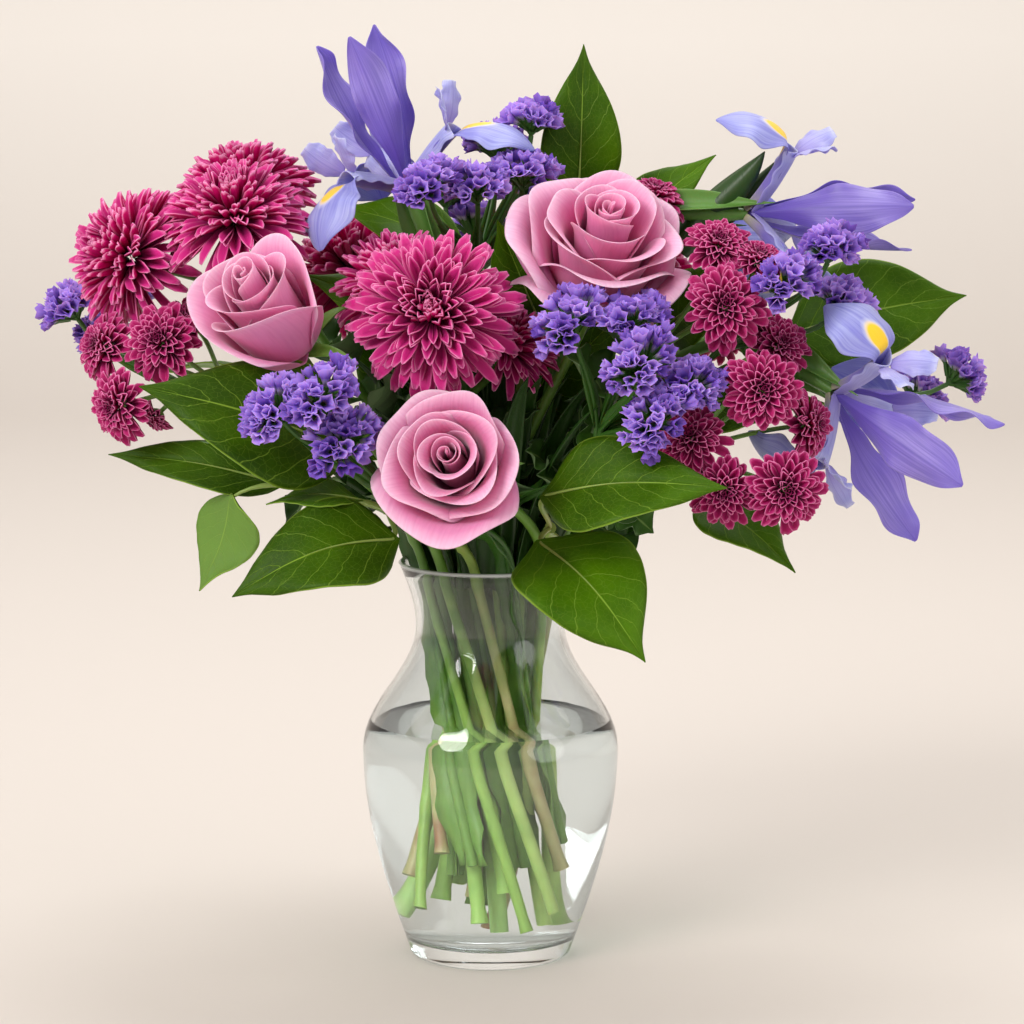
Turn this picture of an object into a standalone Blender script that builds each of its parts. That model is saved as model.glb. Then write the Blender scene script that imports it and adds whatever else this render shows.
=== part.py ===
"""A mixed bouquet of irises, roses, chrysanthemums, statice and salal leaves in a clear glass vase.

Units are metres and +Z is up. The origin is the centre of the vase's foot, and -Y is the front.
Blooms are placed from the centre of the vase's mouth in units of BLOOM, the distance between a rose and
a large chrysanthemum that stand side by side, so a bouquet with bigger blooms spreads out to hold them.
"""

import math

import bmesh
import bpy
from mathutils import Matrix, Vector

# The vase and its water
VASE_HEIGHT = 0.203
MOUTH_RADIUS = 0.0467
NECK_RADIUS = 0.0378
SHOULDER_RADIUS = 0.065
FOOT_RADIUS = 0.0415
NECK_HEIGHT_SHARE = 0.838
SHOULDER_HEIGHT_SHARE = 0.527
WALL = 0.003
FLOOR = 0.010
HEEL = 0.0025
VASE_SEGMENTS = 28
ROSE_SEGMENTS = 14
MUM_SEGMENTS = 16
BUTTON_SEGMENTS = 10
STATICE_SEGMENTS = 7
WATER_LEVEL_SHARE = 0.59

# The blooms
ROSE_RADIUS = 0.037
MUM_RADIUS = 0.034
BUTTON_RADIUS = 0.0160
STATICE_RADIUS = 0.0130
STANDARD_LENGTH = 0.084
STANDARD_WIDTH = 0.026
HAFT_LENGTH = 0.042
HAFT_WIDTH = 0.009
BLADE_LENGTH = 0.040
STYLE_WIDTH = 0.013
STYLE_LIFT = 0.0045  # from a fall's haft to the style arm that lies along it
IRIS_TUBE_RADIUS = 0.0045
LEAF_WIDTH = 0.052
PETAL_THICKNESS = 0.0014
LEAF_THICKNESS = 0.0014

# The stems
THICK_STEM_RADIUS = 0.0033
STEM_RADIUS = 0.0026
BRANCH_RADIUS = 0.0013
STEM_TO_GLASS = 0.003
GAP = 0.0004  # between pieces that touch in a real bouquet
HEAD_GAP = 0.0016  # between a flower head and the stem's end, which may meet it askew
TURN_IN_VASE = math.radians(90)  # how far a stem goes round between the vase's neck and its cut end

BLOOM = ROSE_RADIUS + MUM_RADIUS
NECK_HEIGHT = VASE_HEIGHT * NECK_HEIGHT_SHARE
SHOULDER_HEIGHT = VASE_HEIGHT * SHOULDER_HEIGHT_SHARE
WATER_LEVEL = VASE_HEIGHT * WATER_LEVEL_SHARE

for leftover in list(bpy.data.objects):
    bpy.data.objects.remove(leftover)


def at(right, back, up):
    """A place in the bouquet, in blooms from the centre of the vase's mouth."""
    return Vector((0, 0, VASE_HEIGHT)) + BLOOM * Vector((right, back, up))


# Materials


def material(name, colour, roughness, transmission=0.0, ior=1.45):
    made = bpy.data.materials.new(name)
    made.use_nodes = True
    shader = made.node_tree.nodes["Principled BSDF"]
    shader.inputs["Base Color"].default_value = (*colour, 1)
    shader.inputs["Roughness"].default_value = roughness
    shader.inputs["Metallic"].default_value = 0
    shader.inputs["Transmission Weight"].default_value = transmission
    shader.inputs["IOR"].default_value = ior
    return made


GLASS = material("glass", (0.95, 0.97, 0.97), 0.02, transmission=1, ior=1.52)
WATER = material("water", (0.97, 0.98, 0.98), 0.0, transmission=1, ior=1.33)
STALK = material("green_stem", (0.18, 0.32, 0.07), 0.45)
LEAF = material("salal_leaf", (0.06, 0.18, 0.02), 0.35)
ROSE = material("rose_petal", (0.62, 0.20, 0.36), 0.5)
MUM = material("chrysanthemum_petal", (0.42, 0.03, 0.16), 0.5)
BUTTON = material("button_chrysanthemum_petal", (0.34, 0.02, 0.13), 0.5)
STATICE = material("statice_floret", (0.14, 0.05, 0.45), 0.6)
STANDARD = material("iris_standard", (0.16, 0.09, 0.52), 0.45)
FALL = material("iris_fall", (0.24, 0.22, 0.70), 0.45)
STYLE = material("iris_style", (0.45, 0.43, 0.82), 0.45)


# Ways of making a closed shape


def finished(bm, name, look, smooth=True):
    """The bmesh as an object, with its faces pointing out."""
    bmesh.ops.recalc_face_normals(bm, faces=bm.faces)
    mesh = bpy.data.meshes.new(name)
    bm.to_mesh(mesh)
    bm.free()
    mesh.materials.append(look)
    if smooth:
        mesh.shade_smooth()
    made = bpy.data.objects.new(name, mesh)
    bpy.context.collection.objects.link(made)
    return made


def closed_loops(loops, start=None, end=None):
    """A bmesh skin over loops of points, each end drawn to a point or closed by a flat face."""
    bm = bmesh.new()
    rings = [[bm.verts.new(point) for point in loop] for loop in loops]
    count = len(loops[0])
    for low, high in zip(rings, rings[1:]):
        for side in range(count):
            after = (side + 1) % count
            bm.faces.new((low[side], low[after], high[after], high[side]))
    for ring, tip in ((rings[0], start), (rings[-1], end)):
        if tip is None:
            bm.faces.new(ring)
            continue
        apex = bm.verts.new(tip)
        for side in range(count):
            bm.faces.new((ring[side], ring[(side + 1) % count], apex))
    return bm


def turned(profile, segments, place=Matrix()):
    """A bmesh turned from (radius, height) points, whose first and last points are on the axis."""
    angles = [2 * math.pi * step / segments for step in range(segments)]
    loops = [
        [place @ Vector((radius * math.cos(a), radius * math.sin(a), height)) for a in angles]
        for radius, height in profile[1:-1]
    ]
    ends = [place @ Vector((0, 0, height)) for _, height in (profile[0], profile[-1])]
    return closed_loops(loops, *ends)


def facing(centre, direction):
    """The place of a shape whose +Z is turned to a direction."""
    return Matrix.Translation(centre) @ Vector(direction).to_track_quat("Z", "Y").to_matrix().to_4x4()


def bend(start, leaving, end, arriving, count):
    """Points on a smooth curve that leaves one way and arrives another, as a growing stem does."""
    reach = (end - start).length
    leave, arrive = leaving.normalized() * reach, arriving.normalized() * reach
    points = []
    for step in range(count + 1):
        t = step / count
        points.append(
            start * (2 * t**3 - 3 * t**2 + 1)
            + leave * (t**3 - 2 * t**2 + t)
            + end * (3 * t**2 - 2 * t**3)
            + arrive * (t**3 - t**2)
        )
    return points


def along(points, index):
    """The direction of a line of points at one of them."""
    before, after = points[max(index - 1, 0)], points[min(index + 1, len(points) - 1)]
    return (after - before).normalized()


def tube(points, radii, sides=5):
    """A bmesh tube along the points, with flat ends."""
    side = along(points, 0).orthogonal().normalized()
    loops = []
    for index, (point, radius) in enumerate(zip(points, radii)):
        direction = along(points, index)
        side = (side - direction * side.dot(direction)).normalized()
        other = direction.cross(side)
        angles = [2 * math.pi * step / sides for step in range(sides)]
        loops.append([point + radius * (math.cos(a) * side + math.sin(a) * other) for a in angles])
    return closed_loops(loops)


def blade(points, widths, side, thickness, cup=0.0):
    """A thin petal or leaf along the points, as wide as `side` and raised at both sides by `cup` of its width."""
    side = side.normalized()
    loops = []
    for index, width in enumerate(widths[1:-1], start=1):
        normal = side.cross(along(points, index)).normalized()
        half = thickness / 2
        section = (
            (-0.5, cup, 0),
            (-0.25, cup * 0.25, -half),
            (0.25, cup * 0.25, -half),
            (0.5, cup, 0),
            (0.25, cup * 0.25, half),
            (-0.25, cup * 0.25, half),
        )
        loops.append([points[index] + side * width * x + normal * (width * rise + off) for x, rise, off in section])
    return closed_loops(loops, points[0], points[-1])


def one_piece(name, shapes, look):
    """Shapes that grew as one, joined into one body."""
    whole = finished(shapes[0], name, look)
    for shape in shapes[1:]:
        part = finished(shape, name + "_part", look)
        joined = whole.modifiers.new("Boolean", "BOOLEAN")
        joined.operation = "UNION"
        joined.object = part
        with bpy.context.temp_override(object=whole, active_object=whole):
            bpy.ops.object.modifier_apply(modifier=joined.name)
        bpy.data.objects.remove(part)
    return whole


# The vase: one wall of clear glass, narrow at the neck, with a flared mouth and a thick flat foot


def glass_radius(height):
    """The outer radius of the glass at a height."""
    if height <= SHOULDER_HEIGHT:
        rise = max(height - HEEL, 0) / (SHOULDER_HEIGHT - HEEL)
        return FOOT_RADIUS + (SHOULDER_RADIUS - FOOT_RADIUS) * math.sin(rise * math.pi / 2)
    if height <= NECK_HEIGHT:
        rise = (height - SHOULDER_HEIGHT) / (NECK_HEIGHT - SHOULDER_HEIGHT)
        return SHOULDER_RADIUS - (SHOULDER_RADIUS - NECK_RADIUS) * (1 - math.cos(rise * math.pi)) / 2
    rise = (height - NECK_HEIGHT) / (VASE_HEIGHT - NECK_HEIGHT)
    return NECK_RADIUS + (MOUTH_RADIUS - NECK_RADIUS) * (1 - math.cos(rise * math.pi / 2))


def steps(low, high, count):
    return [low + (high - low) * step / count for step in range(1, count + 1)]


WET_HEIGHTS = [FLOOR + GAP, *steps(FLOOR + GAP, SHOULDER_HEIGHT, 4), WATER_LEVEL]
DRY_HEIGHTS = [*steps(WATER_LEVEL, NECK_HEIGHT, 3), *steps(NECK_HEIGHT, VASE_HEIGHT, 3)]


def vase():
    outside = [(glass_radius(z), z) for z in [HEEL, *WET_HEIGHTS, *DRY_HEIGHTS]]
    inside = [(glass_radius(z) - WALL, z) for z in [*WET_HEIGHTS, *DRY_HEIGHTS]]
    floor_edge = (inside[0][0], FLOOR)
    profile = [(0, 0), (FOOT_RADIUS - HEEL, 0), *outside, *inside[::-1], floor_edge, (0, FLOOR)]
    finished(turned(profile, VASE_SEGMENTS), "vase", GLASS)


def water(stems):
    """The water, open round each stem that stands in it."""
    side = [(glass_radius(z) - WALL - GAP, z) for z in WET_HEIGHTS]
    whole = turned([(0, FLOOR + GAP), *side, (0, WATER_LEVEL)], VASE_SEGMENTS)
    body = finished(whole, "water", WATER, smooth=False)
    for name, (cut_end, top, radius) in stems.items():
        down = (cut_end - top).normalized()
        cutter = finished(tube([cut_end + down * GAP, top], [radius + GAP] * 2), name + "_cutter", WATER)
        cutter.hide_render = True
        cutter.display_type = "WIRE"
        cut = body.modifiers.new(name, "BOOLEAN")
        cut.operation = "DIFFERENCE"
        cut.object = cutter


# The stems stand in rings, and go round the vase's axis as they go down, so that none crosses another.
# A ring lists its stems in the order of their flowers round the bouquet, each with its cut end's height.

RINGS = (
    (
        1.0,
        (
            ("salal_right", 0.045),
            ("button_mum_back", 0.030),
            ("salal_back", 0.060),
            ("statice_left", 0.055),
            ("button_mum_left", 0.020),
            ("rose_left", 0.028),
            ("salal_left", 0.050),
            ("statice_low", 0.062),
            ("rose_front", 0.018),
            ("salal_front", 0.016),
            ("button_mum_low", 0.040),
            ("iris_3", 0.022),
        ),
    ),
    (
        0.58,
        (
            ("mum_stem_back", 0.034),
            ("statice_back", 0.048),
            ("mum_stem_left", 0.024),
            ("mum_stem_centre", 0.040),
            ("statice_centre", 0.052),
            ("rose_top", 0.020),
            ("button_mum_right", 0.066),
            ("statice_right", 0.030),
            ("iris_2", 0.042),
        ),
    ),
    (0.2, (("salal_top", 0.036), ("iris_1", 0.018), ("statice_top", 0.044))),
)
LOWEST_CUT = 0.015
RING_TO_OUTSIDE = WALL + STEM_TO_GLASS + THICK_STEM_RADIUS
NECK_RING = glass_radius(NECK_HEIGHT) - RING_TO_OUTSIDE
FOOT_RING = glass_radius(LOWEST_CUT) - RING_TO_OUTSIDE
FIRST_SLOT = math.radians(90)  # the stem of a flower on the right stands at the back of the neck
standing = {}


def stem_in_vase(name, radius):
    """Where a stem's cut end stands, and where it leaves the mouth."""
    for share, names in RINGS:
        for slot, (stem, height) in enumerate(names):
            if stem != name:
                continue
            turn = FIRST_SLOT + 2 * math.pi * slot / len(names)
            neck = Vector((math.cos(turn), math.sin(turn), 0)) * share * NECK_RING
            neck.z = NECK_HEIGHT
            turn += TURN_IN_VASE
            foot = Vector((math.cos(turn), math.sin(turn), 0)) * share * FOOT_RING
            foot.z = LOWEST_CUT
            cut_end = foot.lerp(neck, (height - LOWEST_CUT) / (NECK_HEIGHT - LOWEST_CUT))
            leaving = foot.lerp(neck, (VASE_HEIGHT - LOWEST_CUT) / (NECK_HEIGHT - LOWEST_CUT))
            standing[name] = (cut_end, leaving, radius)
            return cut_end, leaving


def stem(name, end, arriving, radius, swelling=1.0, count=6):
    """A bmesh stem from its cut end to a flower, and the direction in which it arrives."""
    cut_end, leaving = stem_in_vase(name, radius)
    route = [cut_end, *bend(leaving, leaving - cut_end, end, arriving, count)]
    radii = [radius] * len(route)
    radii[-1] *= swelling
    return tube(route, radii)


# The roses

ROSE_PROFILE = (
    (0, -0.90),
    (0.32, -0.84),
    (0.72, -0.45),
    (0.96, 0.10),
    (0.98, 0.42),
    (0.72, 0.62),
    (0.36, 0.74),
    (0, 0.78),
)
ROSES = {
    "rose_left": (at(-1.50, -1.35, 1.93), (-0.36, -0.64, 0.68), 0.95),
    "rose_top": (at(0.77, -0.85, 2.31), (0.15, -0.60, 0.80), 1.1),
    "rose_front": (at(-0.24, -1.88, 0.95), (-0.15, -0.93, 0.32), 0.94),
}


def head(profile, name, centre, direction, radius, segments, look):
    """A flower head, and the end of the stem that holds it."""
    direction = Vector(direction).normalized()
    scaled = [(r * radius, z * radius) for r, z in profile]
    shape = turned(scaled, segments, facing(centre, direction))
    base = centre + direction * (profile[0][1] * radius - HEAD_GAP)
    if name:
        finished(shape, name, look)
    return shape, base, direction


for name, (centre, direction, size) in ROSES.items():
    _, base, direction = head(ROSE_PROFILE, name + "_head", centre, direction, ROSE_RADIUS * size, ROSE_SEGMENTS, ROSE)
    finished(stem(name, base, direction, STEM_RADIUS, swelling=2), name + "_stem", STALK)


# The large chrysanthemums: heads on three stems that fork

MUM_PROFILE = (
    (0, -0.45),
    (0.40, -0.42),
    (0.78, -0.26),
    (1.0, 0.08),
    (0.90, 0.38),
    (0.60, 0.58),
    (0.25, 0.66),
    (0, 0.67),
)
MUM_STEMS = {
    "mum_stem_left": (
        at(-1.15, -0.10, 1.55),
        (-0.5, -0.1, 0.85),
        {
            "mum_1": (at(-2.56, -0.30, 2.20), (-0.80, -0.50, 0.35), 1.0),
            "mum_2": (at(-1.80, 0.50, 2.66), (-0.25, -0.10, 0.95), 1.0),
            "mum_3": (at(-1.76, -0.54, 2.52), (-0.10, -0.50, 0.85), 1.0),
        },
    ),
    "mum_stem_centre": (
        at(-0.25, -0.55, 1.05),
        (-0.1, -0.3, 0.95),
        {
            "mum_4": (at(-0.38, -1.42, 1.90), (-0.05, -0.95, 0.25), 1.1),
            "mum_5": (at(-0.62, -0.66, 2.08), (-0.15, -0.30, 0.94), 0.95),
            "mum_6": (at(0.12, -0.45, 1.62), (0.20, -0.40, 0.88), 0.75),
        },
    ),
    "mum_stem_back": (
        at(0.05, 0.70, 1.15),
        (0.0, 0.4, 0.9),
        {
            "mum_7": (at(1.05, 1.05, 2.05), (0.50, 0.60, 0.62), 1.0),
            "mum_8": (at(-1.05, 1.20, 2.00), (-0.50, 0.65, 0.55), 1.0),
        },
    ),
}


BRANCH_BENDS = 3


def branch(fork, leaving, end, arriving, radius=BRANCH_RADIUS, swelling=1.6):
    route = bend(fork, leaving, end, arriving, BRANCH_BENDS)
    return tube(route, [radius] * BRANCH_BENDS + [radius * swelling], sides=4)


for name, (fork, growing, heads) in MUM_STEMS.items():
    growing = Vector(growing).normalized()
    shapes = [stem(name, fork, growing, STEM_RADIUS)]
    for head_name, (centre, direction, size) in heads.items():
        _, base, direction = head(MUM_PROFILE, head_name, centre, direction, MUM_RADIUS * size, MUM_SEGMENTS, MUM)
        shapes.append(branch(fork - growing * STEM_RADIUS, growing, base, direction, STEM_RADIUS * 0.8))
    one_piece(name, shapes, STALK)


# The button chrysanthemums and the statice: sprays of small heads

BUTTON_PROFILE = ((0, -0.55), (0.45, -0.50), (0.98, 0.05), (0.70, 0.42), (0, 0.52))
STATICE_PROFILE = ((0, -0.80), (0.40, -0.55), (0.92, 0.15), (0.55, 0.52), (0, 0.58))
BUTTON_SPRAYS = {
    "button_mum_left": (
        at(-1.75, -0.70, 1.25),
        (-0.7, -0.3, 0.6),
        (
            (at(-2.66, -0.72, 1.60), (-0.70, -0.60, 0.30), 0.95),
            (at(-2.22, -1.02, 1.66), (-0.25, -0.90, 0.35), 1.05),
            (at(-2.52, -1.08, 1.22), (-0.60, -0.75, -0.10), 0.95),
            (at(-2.30, -0.78, 1.10), (-0.60, -0.40, -0.65), 0.5),
            (at(-2.10, -0.40, 1.75), (-0.50, -0.60, 0.60), 0.8),
        ),
    ),
    "button_mum_right": (
        at(1.10, -0.55, 1.45),
        (0.4, -0.3, 0.85),
        (
            (at(1.56, -0.91, 2.31), (0.10, -0.70, 0.70), 0.9),
            (at(1.58, -1.28, 1.92), (0.05, -0.95, 0.30), 1.1),
            (at(1.82, -0.95, 2.22), (0.20, -0.50, 0.80), 0.75),
            (at(1.15, -0.05, 2.60), (0.20, -0.30, 0.93), 0.9),
        ),
    ),
    "button_mum_low": (
        at(1.15, -0.85, 0.80),
        (0.7, -0.5, 0.4),
        (
            (at(1.82, -1.50, 1.38), (0.05, -0.97, 0.20), 1.05),
            (at(1.98, -0.85, 1.62), (0.30, -0.80, 0.45), 0.9),
            (at(2.18, -1.12, 1.10), (0.80, -0.55, 0.15), 0.9),
            (at(1.35, -1.38, 1.05), (-0.20, -0.85, 0.40), 0.95),
            (at(1.57, -1.48, 0.70), (-0.10, -0.97, -0.10), 0.95),
            (at(1.98, -1.60, 0.72), (0.10, -0.98, 0.05), 1.05),
        ),
    ),
    "button_mum_back": (
        at(0.85, 1.05, 1.05),
        (0.4, 0.6, 0.65),
        (
            (at(0.20, 1.75, 1.75), (-0.10, 0.90, 0.45), 1.0),
            (at(0.70, 1.60, 2.10), (0.10, 0.75, 0.65), 1.0),
            (at(0.62, 1.88, 1.45), (0.10, 0.95, 0.20), 0.95),
            (at(1.70, 1.30, 1.55), (0.60, 0.70, 0.35), 1.0),
            (at(1.85, 0.75, 1.90), (0.75, 0.35, 0.55), 0.9),
        ),
    ),
}
STATICE_SPRAYS = {
    "statice_left": (
        at(-1.90, 0.30, 1.05),
        (-0.8, 0.0, 0.55),
        (
            (at(-2.98, 0.05, 1.82), (-0.50, -0.20, 0.85), 0.75),
            (at(-2.78, 0.35, 1.62), (-0.60, 0.30, 0.70), 0.7),
            (at(-2.60, 0.70, 1.90), (-0.30, 0.30, 0.90), 0.8),
        ),
    ),
    "statice_low": (
        at(-0.62, -1.50, 0.66),
        (-0.5, -0.6, 0.6),
        (
            (at(-1.08, -1.92, 1.42), (-0.10, -0.60, 0.80), 1.1),
            (at(-1.42, -1.80, 1.30), (-0.45, -0.55, 0.70), 0.9),
            (at(-0.95, -1.85, 1.08), (0.10, -0.80, 0.60), 0.9),
        ),
    ),
    "statice_centre": (
        at(0.72, -0.95, 0.95),
        (0.2, -0.5, 0.85),
        (
            (at(0.52, -1.48, 1.85), (-0.25, -0.60, 0.75), 1.15),
            (at(0.98, -1.38, 1.86), (0.10, -0.40, 0.90), 0.85),
            (at(1.00, -1.70, 1.60), (0.00, -0.70, 0.70), 1.1),
            (at(1.36, -1.52, 1.42), (0.30, -0.60, 0.70), 0.95),
            (at(1.10, -1.78, 1.22), (0.10, -0.85, 0.50), 0.95),
        ),
    ),
    "statice_top": (
        at(-0.10, 0.05, 1.95),
        (0.0, 0.1, 1.0),
        (
            (at(-0.42, -0.82, 2.72), (-0.15, -0.50, 0.85), 0.85),
            (at(-0.08, -0.60, 2.70), (0.00, -0.40, 0.90), 0.9),
            (at(0.25, -0.34, 2.79), (0.15, -0.20, 0.95), 0.95),
            (at(0.05, 0.20, 2.95), (0.00, 0.20, 0.95), 0.8),
            (at(0.30, 0.00, 3.12), (0.10, 0.00, 1.00), 0.65),
        ),
    ),
    "statice_right": (
        at(1.50, -0.45, 1.45),
        (0.5, -0.1, 0.85),
        (
            (at(2.00, -1.20, 2.10), (0.15, -0.60, 0.75), 0.95),
            (at(2.35, -0.80, 2.30), (0.30, -0.30, 0.90), 0.85),
            (at(2.45, -0.55, 1.90), (0.60, -0.20, 0.80), 0.75),
            (at(3.40, 0.45, 1.28), (0.80, 0.10, 0.50), 0.75),
            (at(3.15, 0.75, 1.10), (0.70, 0.30, 0.50), 0.7),
        ),
    ),
    "statice_back": (
        at(-0.30, 0.60, 1.75),
        (-0.1, 0.5, 0.85),
        (
            (at(-0.10, 1.45, 2.30), (0.05, 0.60, 0.80), 1.0),
            (at(-0.45, 1.60, 2.10), (-0.10, 0.70, 0.70), 1.0),
            (at(0.25, 1.15, 2.55), (0.10, 0.40, 0.90), 0.95),
            (at(-0.35, 1.25, 2.58), (-0.10, 0.40, 0.90), 0.9),
        ),
    ),
}


def spray(name, fork, growing, heads, profile, radius, segments, look):
    """A stem that forks to its heads, as one body."""
    growing = Vector(growing).normalized()
    shapes = [stem(name, fork, growing, STEM_RADIUS * 0.85)]
    for centre, direction, size in heads:
        shape, base, direction = head(profile, None, centre, direction, radius * size, segments, look)
        inside = base + direction * (radius * size * 0.3)
        shapes.append(branch(fork - growing * STEM_RADIUS, growing, inside, direction))
        shapes.append(shape)
    one_piece(name, shapes, look)


for name, (fork, growing, heads) in BUTTON_SPRAYS.items():
    spray(name, fork, growing, heads, BUTTON_PROFILE, BUTTON_RADIUS, BUTTON_SEGMENTS, BUTTON)
for name, (fork, growing, heads) in STATICE_SPRAYS.items():
    spray(name, fork, growing, heads, STATICE_PROFILE, STATICE_RADIUS, STATICE_SEGMENTS, STATICE)


# The salal branches: woody twigs with broad pointed leaves

LEAF_SHAPE = (0, 0.42, 0.86, 1.0, 0.93, 0.70, 0.36, 0)
SALAL = {
    "salal_left": (
        at(-0.70, -0.95, 0.50),
        (-0.6, -0.5, 0.4),
        (
            (at(-0.98, -1.15, 0.88), at(-2.28, -1.50, 1.34), (-0.25, -0.60, 0.80), 0.95, 0.10),
            (at(-1.40, -0.90, 0.66), at(-2.62, -0.75, 0.85), (0.10, -0.85, 0.60), 0.55, 0.08),
            (at(-1.75, -1.05, 0.62), at(-1.95, -1.05, 0.05), (-0.60, -0.80, 0.20), 0.6, 0.10),
            (at(-0.60, -1.40, 0.36), at(-1.68, -1.72, 0.06), (-0.20, -0.60, 0.80), 0.85, 0.16),
            (at(-0.85, -1.30, 0.52), at(-1.50, -1.35, 0.40), (-0.10, -0.30, 0.90), 0.6, 0.1),
        ),
    ),
    "salal_front": (
        at(0.42, -0.80, 0.35),
        (0.3, -0.8, 0.4),
        (
            (at(0.34, -1.50, 0.66), at(1.52, -1.95, 0.72), (-0.05, -0.65, 0.80), 0.88, 0.10),
            (at(0.32, -1.20, 0.28), at(1.00, -1.72, -0.38), (0.15, -0.85, 0.55), 1.15, 0.16),
        ),
    ),
    "salal_right": (
        at(1.25, 0.40, 1.00),
        (0.8, 0.0, 0.55),
        (
            (at(2.15, 0.60, 1.55), at(3.42, 0.45, 1.85), (-0.10, -0.85, 0.50), 1.15, 0.08),
            (at(1.65, 0.75, 0.85), at(2.55, 1.35, 0.95), (0.20, 0.30, 0.90), 0.95, 0.12),
            (at(1.45, -0.40, 0.45), at(2.10, -0.90, 0.05), (0.10, -0.55, 0.80), 0.75, 0.12),
        ),
    ),
    "salal_top": (
        at(0.30, 0.35, 1.75),
        (0.1, 0.2, 0.95),
        (
            (at(0.62, 0.35, 2.45), at(0.66, 0.30, 3.64), (0.10, -0.97, 0.10), 0.8, 0.06),
            (at(-0.10, 0.55, 2.05), at(-1.15, 0.45, 2.50), (0.10, -0.60, 0.80), 0.8, 0.1),
            (at(0.95, 0.62, 2.15), at(1.62, 0.58, 2.85), (-0.50, -0.60, 0.60), 0.75, 0.1),
        ),
    ),
    "salal_back": (
        at(-0.15, 0.95, 0.50),
        (0.0, 0.7, 0.6),
        (
            (at(0.55, 1.45, 0.60), at(1.30, 2.35, 0.75), (0.10, 0.30, 0.93), 1.0, 0.12),
            (at(-0.75, 1.45, 0.55), at(-1.45, 2.30, 0.50), (-0.10, 0.30, 0.93), 1.0, 0.14),
            (at(-0.05, 1.50, 0.45), at(-0.10, 2.25, -0.10), (0.00, 0.70, 0.70), 1.0, 0.14),
            (at(-1.45, 0.80, 1.05), at(-2.55, 1.35, 1.20), (-0.20, 0.20, 0.93), 0.95, 0.12),
        ),
    ),
}


def leaf(base, tip, up, width, bow):
    """A leaf that rises and comes down again between its base and its tip, and the start of its midrib."""
    reach = tip - base
    side = reach.cross(Vector(up)).normalized()
    raised = side.cross(reach) * bow
    count = len(LEAF_SHAPE) - 1
    midrib = [base + reach * t + raised * math.sin(math.pi * t) for t in (i / count for i in range(count + 1))]
    widths = [LEAF_WIDTH * width * share for share in LEAF_SHAPE]
    return blade(midrib, widths, side, LEAF_THICKNESS, cup=0.12), midrib


for name, (fork, growing, leaves) in SALAL.items():
    growing = Vector(growing).normalized()
    shapes = [stem(name, fork, growing, STEM_RADIUS * 0.85)]
    for base, tip, up, width, bow in leaves:
        shape, midrib = leaf(base, tip, up, width, bow)
        shapes.append(branch(fork - growing * STEM_RADIUS, growing, midrib[1], midrib[1] - base, swelling=1))
        shapes.append(shape)
    one_piece(name, shapes, LEAF)


# The irises: three falls that arch out and turn down, three upright standards between them,
# and three style arms that lie along the falls


def arched(start, axis, out, stretches, count):
    """Points from a start, each stretch a (length, first angle, last angle) from the axis towards `out`."""
    points = [start]
    for length, first, last in stretches:
        for step in range(count):
            angle = math.radians(first + (last - first) * (step + 0.5) / count)
            points.append(points[-1] + (axis * math.cos(angle) + out * math.sin(angle)) * length / count)
    return points


BLADE_CURL = 40
FALL_SHAPE = (0, 0.6, 0.8, 0.95, 1.0, 1.7, 3.0, 3.2, 2.4, 0)
STYLE_SHAPE = (0, 0.5, 0.75, 0.95, 1.0, 1.0, 0.75, 0)
STANDARD_SHAPE = (0, 0.20, 0.30, 0.50, 0.80, 1.0, 0.95, 0.66, 0)
IRISES = {
    "iris_1": (at(-0.56, -0.05, 2.60), (-0.40, -0.06, 0.91), (-0.73, -0.68, 0.0), 64, 130, (13, 16, 8)),
    "iris_2": (at(1.78, 0.00, 2.46), (1.00, -0.07, 0.00), (0.0, -0.27, 0.96), 62, 165, (14, 12, 6)),
    "iris_3": (at(2.34, -0.70, 1.30), (0.76, -0.41, -0.50), (0.21, -0.57, 0.79), 66, 178, (8, 36, 24)),
}


def iris(name, base, axis, first, spread, hang, leans):
    """An iris: its falls open by `spread` and hang at `hang` degrees from its axis, and its standards lean."""
    axis = Vector(axis).normalized()
    first = Vector(first)
    first = (first - axis * first.dot(axis)).normalized()
    root = IRIS_TUBE_RADIUS * 0.75
    arms = [tube([base + axis * GAP * 3, base + axis * 0.009], [IRIS_TUBE_RADIUS * 0.35] * 2)]
    for turn, lean in enumerate(leans):
        out = Matrix.Rotation(math.radians(120 * turn), 3, axis) @ first
        haft = (HAFT_LENGTH, spread - 12, spread + 6)
        points = arched(base + out * root + axis * GAP, axis, out, [haft], 4)
        points += arched(points.pop(), axis, out, [(BLADE_LENGTH, hang - BLADE_CURL, hang + BLADE_CURL)], 5)
        widths = [HAFT_WIDTH * share for share in FALL_SHAPE]
        falls = blade(points, widths, out.cross(axis), PETAL_THICKNESS, cup=0.06)
        finished(falls, f"{name}_fall_{turn + 1}", FALL)

        lifted = base + axis * (STYLE_LIFT + 0.002)
        arm = (HAFT_LENGTH * 0.9, spread - 12, spread + 2)
        points = arched(lifted, axis, out, [arm], 4)
        points += arched(points.pop(), axis, out, [(HAFT_LENGTH * 0.35, spread - 30, spread - 70)], 3)
        widths = [STYLE_WIDTH * share for share in STYLE_SHAPE]
        arms.append(blade(points, widths, out.cross(axis), PETAL_THICKNESS, cup=-0.15))

        between = Matrix.Rotation(math.radians(60), 3, axis) @ out
        start = base + between * root * 0.7 + axis * 0.003
        upright = [(STANDARD_LENGTH * 0.4, lean + 14, lean + 4), (STANDARD_LENGTH * 0.6, lean, lean - 14)]
        points = arched(start, axis, between, upright, 4)
        widths = [STANDARD_WIDTH * share for share in STANDARD_SHAPE]
        standard = blade(points, widths, between.cross(axis), PETAL_THICKNESS, cup=0.1)
        finished(standard, f"{name}_standard_{turn + 1}", STANDARD)
    one_piece(name + "_styles", arms, STYLE)
    stalk = stem(name, base - axis * GAP, axis, THICK_STEM_RADIUS, swelling=1.3)
    finished(stalk, name + "_stem", STALK)


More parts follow.
